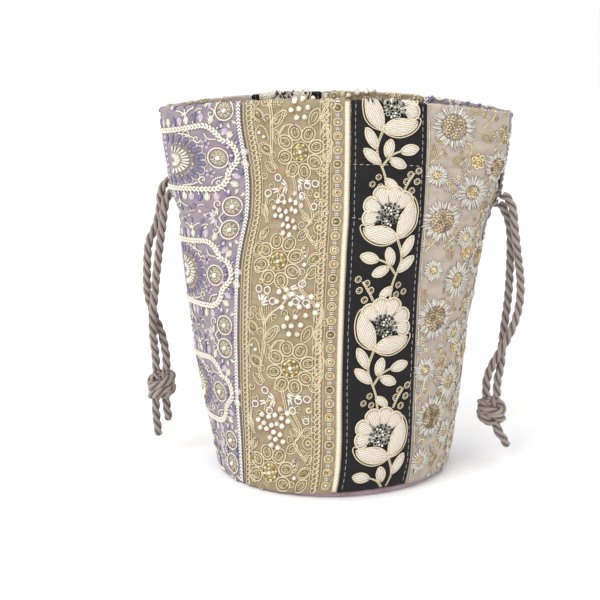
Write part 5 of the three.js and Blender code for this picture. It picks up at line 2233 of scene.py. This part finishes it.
@dataclass
class RoundBase:
    """Round base of napped cloth, its edge turned up against the ribbons and slightly padded."""

    body: BodyShape
    cloth: float = 1.8
    edge: float = 4.0
    hem_cloth: float = 1.4
    inset: float = 1.7
    steps: int = 180

    def build(self) -> bpy.types.Object:
        """Makes the base by carrying a profile round, with small puckers where it meets the ribbons.

        The radius at each turn is the profile's, plus a wave that grows towards the edge.

        Returns:
            The piece, which stands for the base's CAD node.
        """
        radius = self.body.base_diameter / 2 - self.inset
        hem = float(self.body.level(self.body.half_depth, np.array(self.edge + 0.3))) - self.inset
        profile = np.array([
            [0.01, 0.25], [20, 0.2], [40, 0.1], [58, 0], [66, 0], [radius - 3, 0.05],
            [radius - 1.6, 0.3], [radius - 0.7, 0.8], [radius - 0.1, 1.6], [radius + 0.2, 2.4],
            [hem + 0.1, 3.3], [hem - 0.2, self.edge], [hem - 1.0, self.edge],
            [hem - self.hem_cloth, self.edge - 0.2], [radius - self.hem_cloth, self.cloth + 0.9],
            [radius - 3.2, self.cloth], [60, self.cloth], [30, self.cloth], [0.01, self.cloth],
        ])
        turn = np.arange(self.steps) * 2 * np.pi / self.steps
        wave = 0.25 * np.sin(turn * 37 + 2 * np.sin(turn * 5)) * np.clip(profile[:, :1] / radius - 0.95, 0, 1)
        reach = profile[:, :1] + wave * 12
        lean = float(self.body.lean[0])
        points = np.stack(
            [
                lean + reach * np.sin(turn),
                -reach * np.cos(turn),
                np.broadcast_to(profile[:, 1:], reach.shape),
            ],
            -1,
        ).reshape(-1, 3)
        rows = len(profile)
        here = np.arange(self.steps)
        after = (here + 1) % self.steps
        last = (rows - 1) * self.steps
        points = np.concatenate([points, [[lean, 0, 0.25], [lean, 0, self.cloth]]])
        low, high = rows * self.steps, rows * self.steps + 1
        faces = np.concatenate(
            [
                grid_faces(rows, self.steps, True),
                np.stack([np.full(self.steps, low), after, here], 1),
                np.stack([np.full(self.steps, high), here + last, after + last], 1),
            ]
        )
        piece = make_piece("base_cloth", points, faces, points[:, :2], BASE_CLOTH, "base_cloth")
        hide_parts("base_disc")
        return piece


# Studio


@dataclass
class Studio:
    """Camera at the photograph's angle, soft white light and a plain pale floor."""

    camera_place: tuple[float, float, float] = (0.0, -0.8, 0.288)
    camera_pitch: float = 13.0
    lens: float = 78.96
    shift_x: float = -0.06

    def build(self) -> None:
        """Makes the camera, the lights, the world and the floor."""
        scene = bpy.context.scene
        camera = bpy.data.objects.new("camera", bpy.data.cameras.new("camera"))
        camera.data.sensor_width = 36.0
        camera.data.lens = self.lens
        camera.data.shift_x = self.shift_x
        camera.location = self.camera_place
        camera.rotation_euler = (math.radians(90 - self.camera_pitch), 0, 0)
        scene.collection.objects.link(camera)
        scene.camera = camera
        self.light("key_light", (-0.9, -1.1, 1.3), 1.0, 17.0)
        self.light("fill_light", (1.2, -0.9, 0.7), 1.2, 1.5)
        self.light("top_light", (0.1, 0.3, 1.6), 1.4, 2.0)
        world = bpy.data.worlds.new("studio")
        world.use_nodes = True
        back = world.node_tree.nodes["Background"]
        back.inputs["Color"].default_value = linear(0xFFFFFF)
        back.inputs["Strength"].default_value = 1.06
        scene.world = world
        scene.view_settings.view_transform = "Standard"
        turn = np.linspace(0, 2 * np.pi, 64, endpoint=False)
        reach = np.array([0.001, 0.5, 4.0, 40.0])[:, None]
        points = np.stack([reach * np.cos(turn), reach * np.sin(turn), 0 * reach * turn], -1)
        mesh = bpy.data.meshes.new("floor")
        mesh.from_pydata(points.reshape(-1, 3).tolist(), [], grid_faces(4, 64, True)[:, ::-1].tolist())
        mesh.materials.append(STUDIO_FLOOR.material())
        floor = bpy.data.objects.new("floor", mesh)
        scene.collection.objects.link(floor)
        floor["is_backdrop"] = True

    @staticmethod
    def light(name: str, place: tuple[float, float, float], size: float, power: float) -> None:
        """Adds a soft square light that faces the bag.

        Args:
            name: Its name.
            place: Its place in metres.
            size: Its side in metres.
            power: Its power in watts.
        """
        lamp = bpy.data.lights.new(name, "AREA")
        lamp.shape = "SQUARE"
        lamp.size = size
        lamp.energy = power
        holder = bpy.data.objects.new(name, lamp)
        x, y, z = place
        away = math.hypot(x, y)
        holder.location = place
        holder.rotation_euler = (math.atan2(away, z - 0.12), 0, math.atan2(y, x) + math.pi / 2)
        bpy.context.scene.collection.objects.link(holder)


@dataclass
class Reticule:
    """The whole bag."""

    body: BodyShape = field(default_factory=BodyShape)
    left_seam: float = -0.262

    def panels(self) -> list[tuple[str, Panel]]:
        """Returns the eight ribbons with the side each is on.

        Returns:
            Side and panel, from the left seam round the front and then the back.
        """
        ribbons = (
            ("lavender", 0.289, LAVENDER_SILK),
            ("beige", 0.272, BEIGE_SILK),
            ("black", 0.189, BLACK_SILK),
            ("grey", 0.25, GREY_SILK),
        )
        made = []
        for half, side in enumerate(("front", "back")):
            start = self.left_seam + half / 2
            for index, (name, share, finish) in enumerate(ribbons):
                panel = Panel(
                    self.body, name, start, share / 2, index == 0, index == 3, finish, f"{name}_ribbon"
                )
                made.append((side, panel))
                start += share / 2
        return made

    def drawcords(self) -> list[Drawcord]:
        """Returns both drawcords.

        Returns:
            The right and the left one.
        """
        low, middle, high = 168.25, 174.75, 181.25
        return [
            Drawcord(
                "right", self.body, self.left_seam + 0.5, (middle, low, low), STRANDS_RIGHT,
                (98.2, -5.2, 32), 14,
                [
                    [(98.2, -6.4, 30), (103.4, -7.2, 19.5), (109.2, -7.8, 9.6)],
                    [(99.5, -3.6, 30), (102.5, 0.2, 20.5), (104.8, 2, 12.6)],
                ],
                ((20, 12, 0.2), (-16, 22, -0.12), (62, 34, 0.02), (78, -52, 0.04)),
            ),
            Drawcord(
                "left", self.body, self.left_seam, (high, high, middle), STRANDS_LEFT,
                (-111, 4.4, 46.5), -10,
                [
                    [(-113.6, 3.6, 44), (-115, 3, 32), (-113.6, 2.8, 13.2)],
                    [(-108.6, 5.2, 44), (-108.4, 5.6, 34), (-107.2, 5.8, 22.4)],
                ],
                ((16, -22, 0.2), (-8, -26, -0.18), (64, -34, 0.02), (80, 48, 0.04)),
            ),
        ]

    def build(self) -> None:
        """Makes every piece of the bag."""
        RoundBase(self.body).build()
        for cord in self.drawcords():
            cord.build()
        works = {"lavender": LavenderWork, "beige": BeigeWork, "black": BlackWork, "grey": GreyWork}
        for number, (side, panel) in enumerate(self.panels()):
            ribbon = panel.build(side)
            work = works[panel.name](panel, np.random.default_rng(SEED + number))
            work.casing_rows()
            work.sew()
            work.build(side)


def corners() -> list[list[float]]:
    """Returns the shown object's lowest and highest corner as plain lists."""
    return [[float(value) for value in corner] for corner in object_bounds()]


def main() -> None:
    """Builds the studio and the bag round the CAD frame."""
    logging.basicConfig(level=logging.INFO, format="%(name)s: %(message)s", stream=sys.stdout)
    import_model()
    Studio().build()
    Reticule().build()


if __name__ == "__main__":
    main()
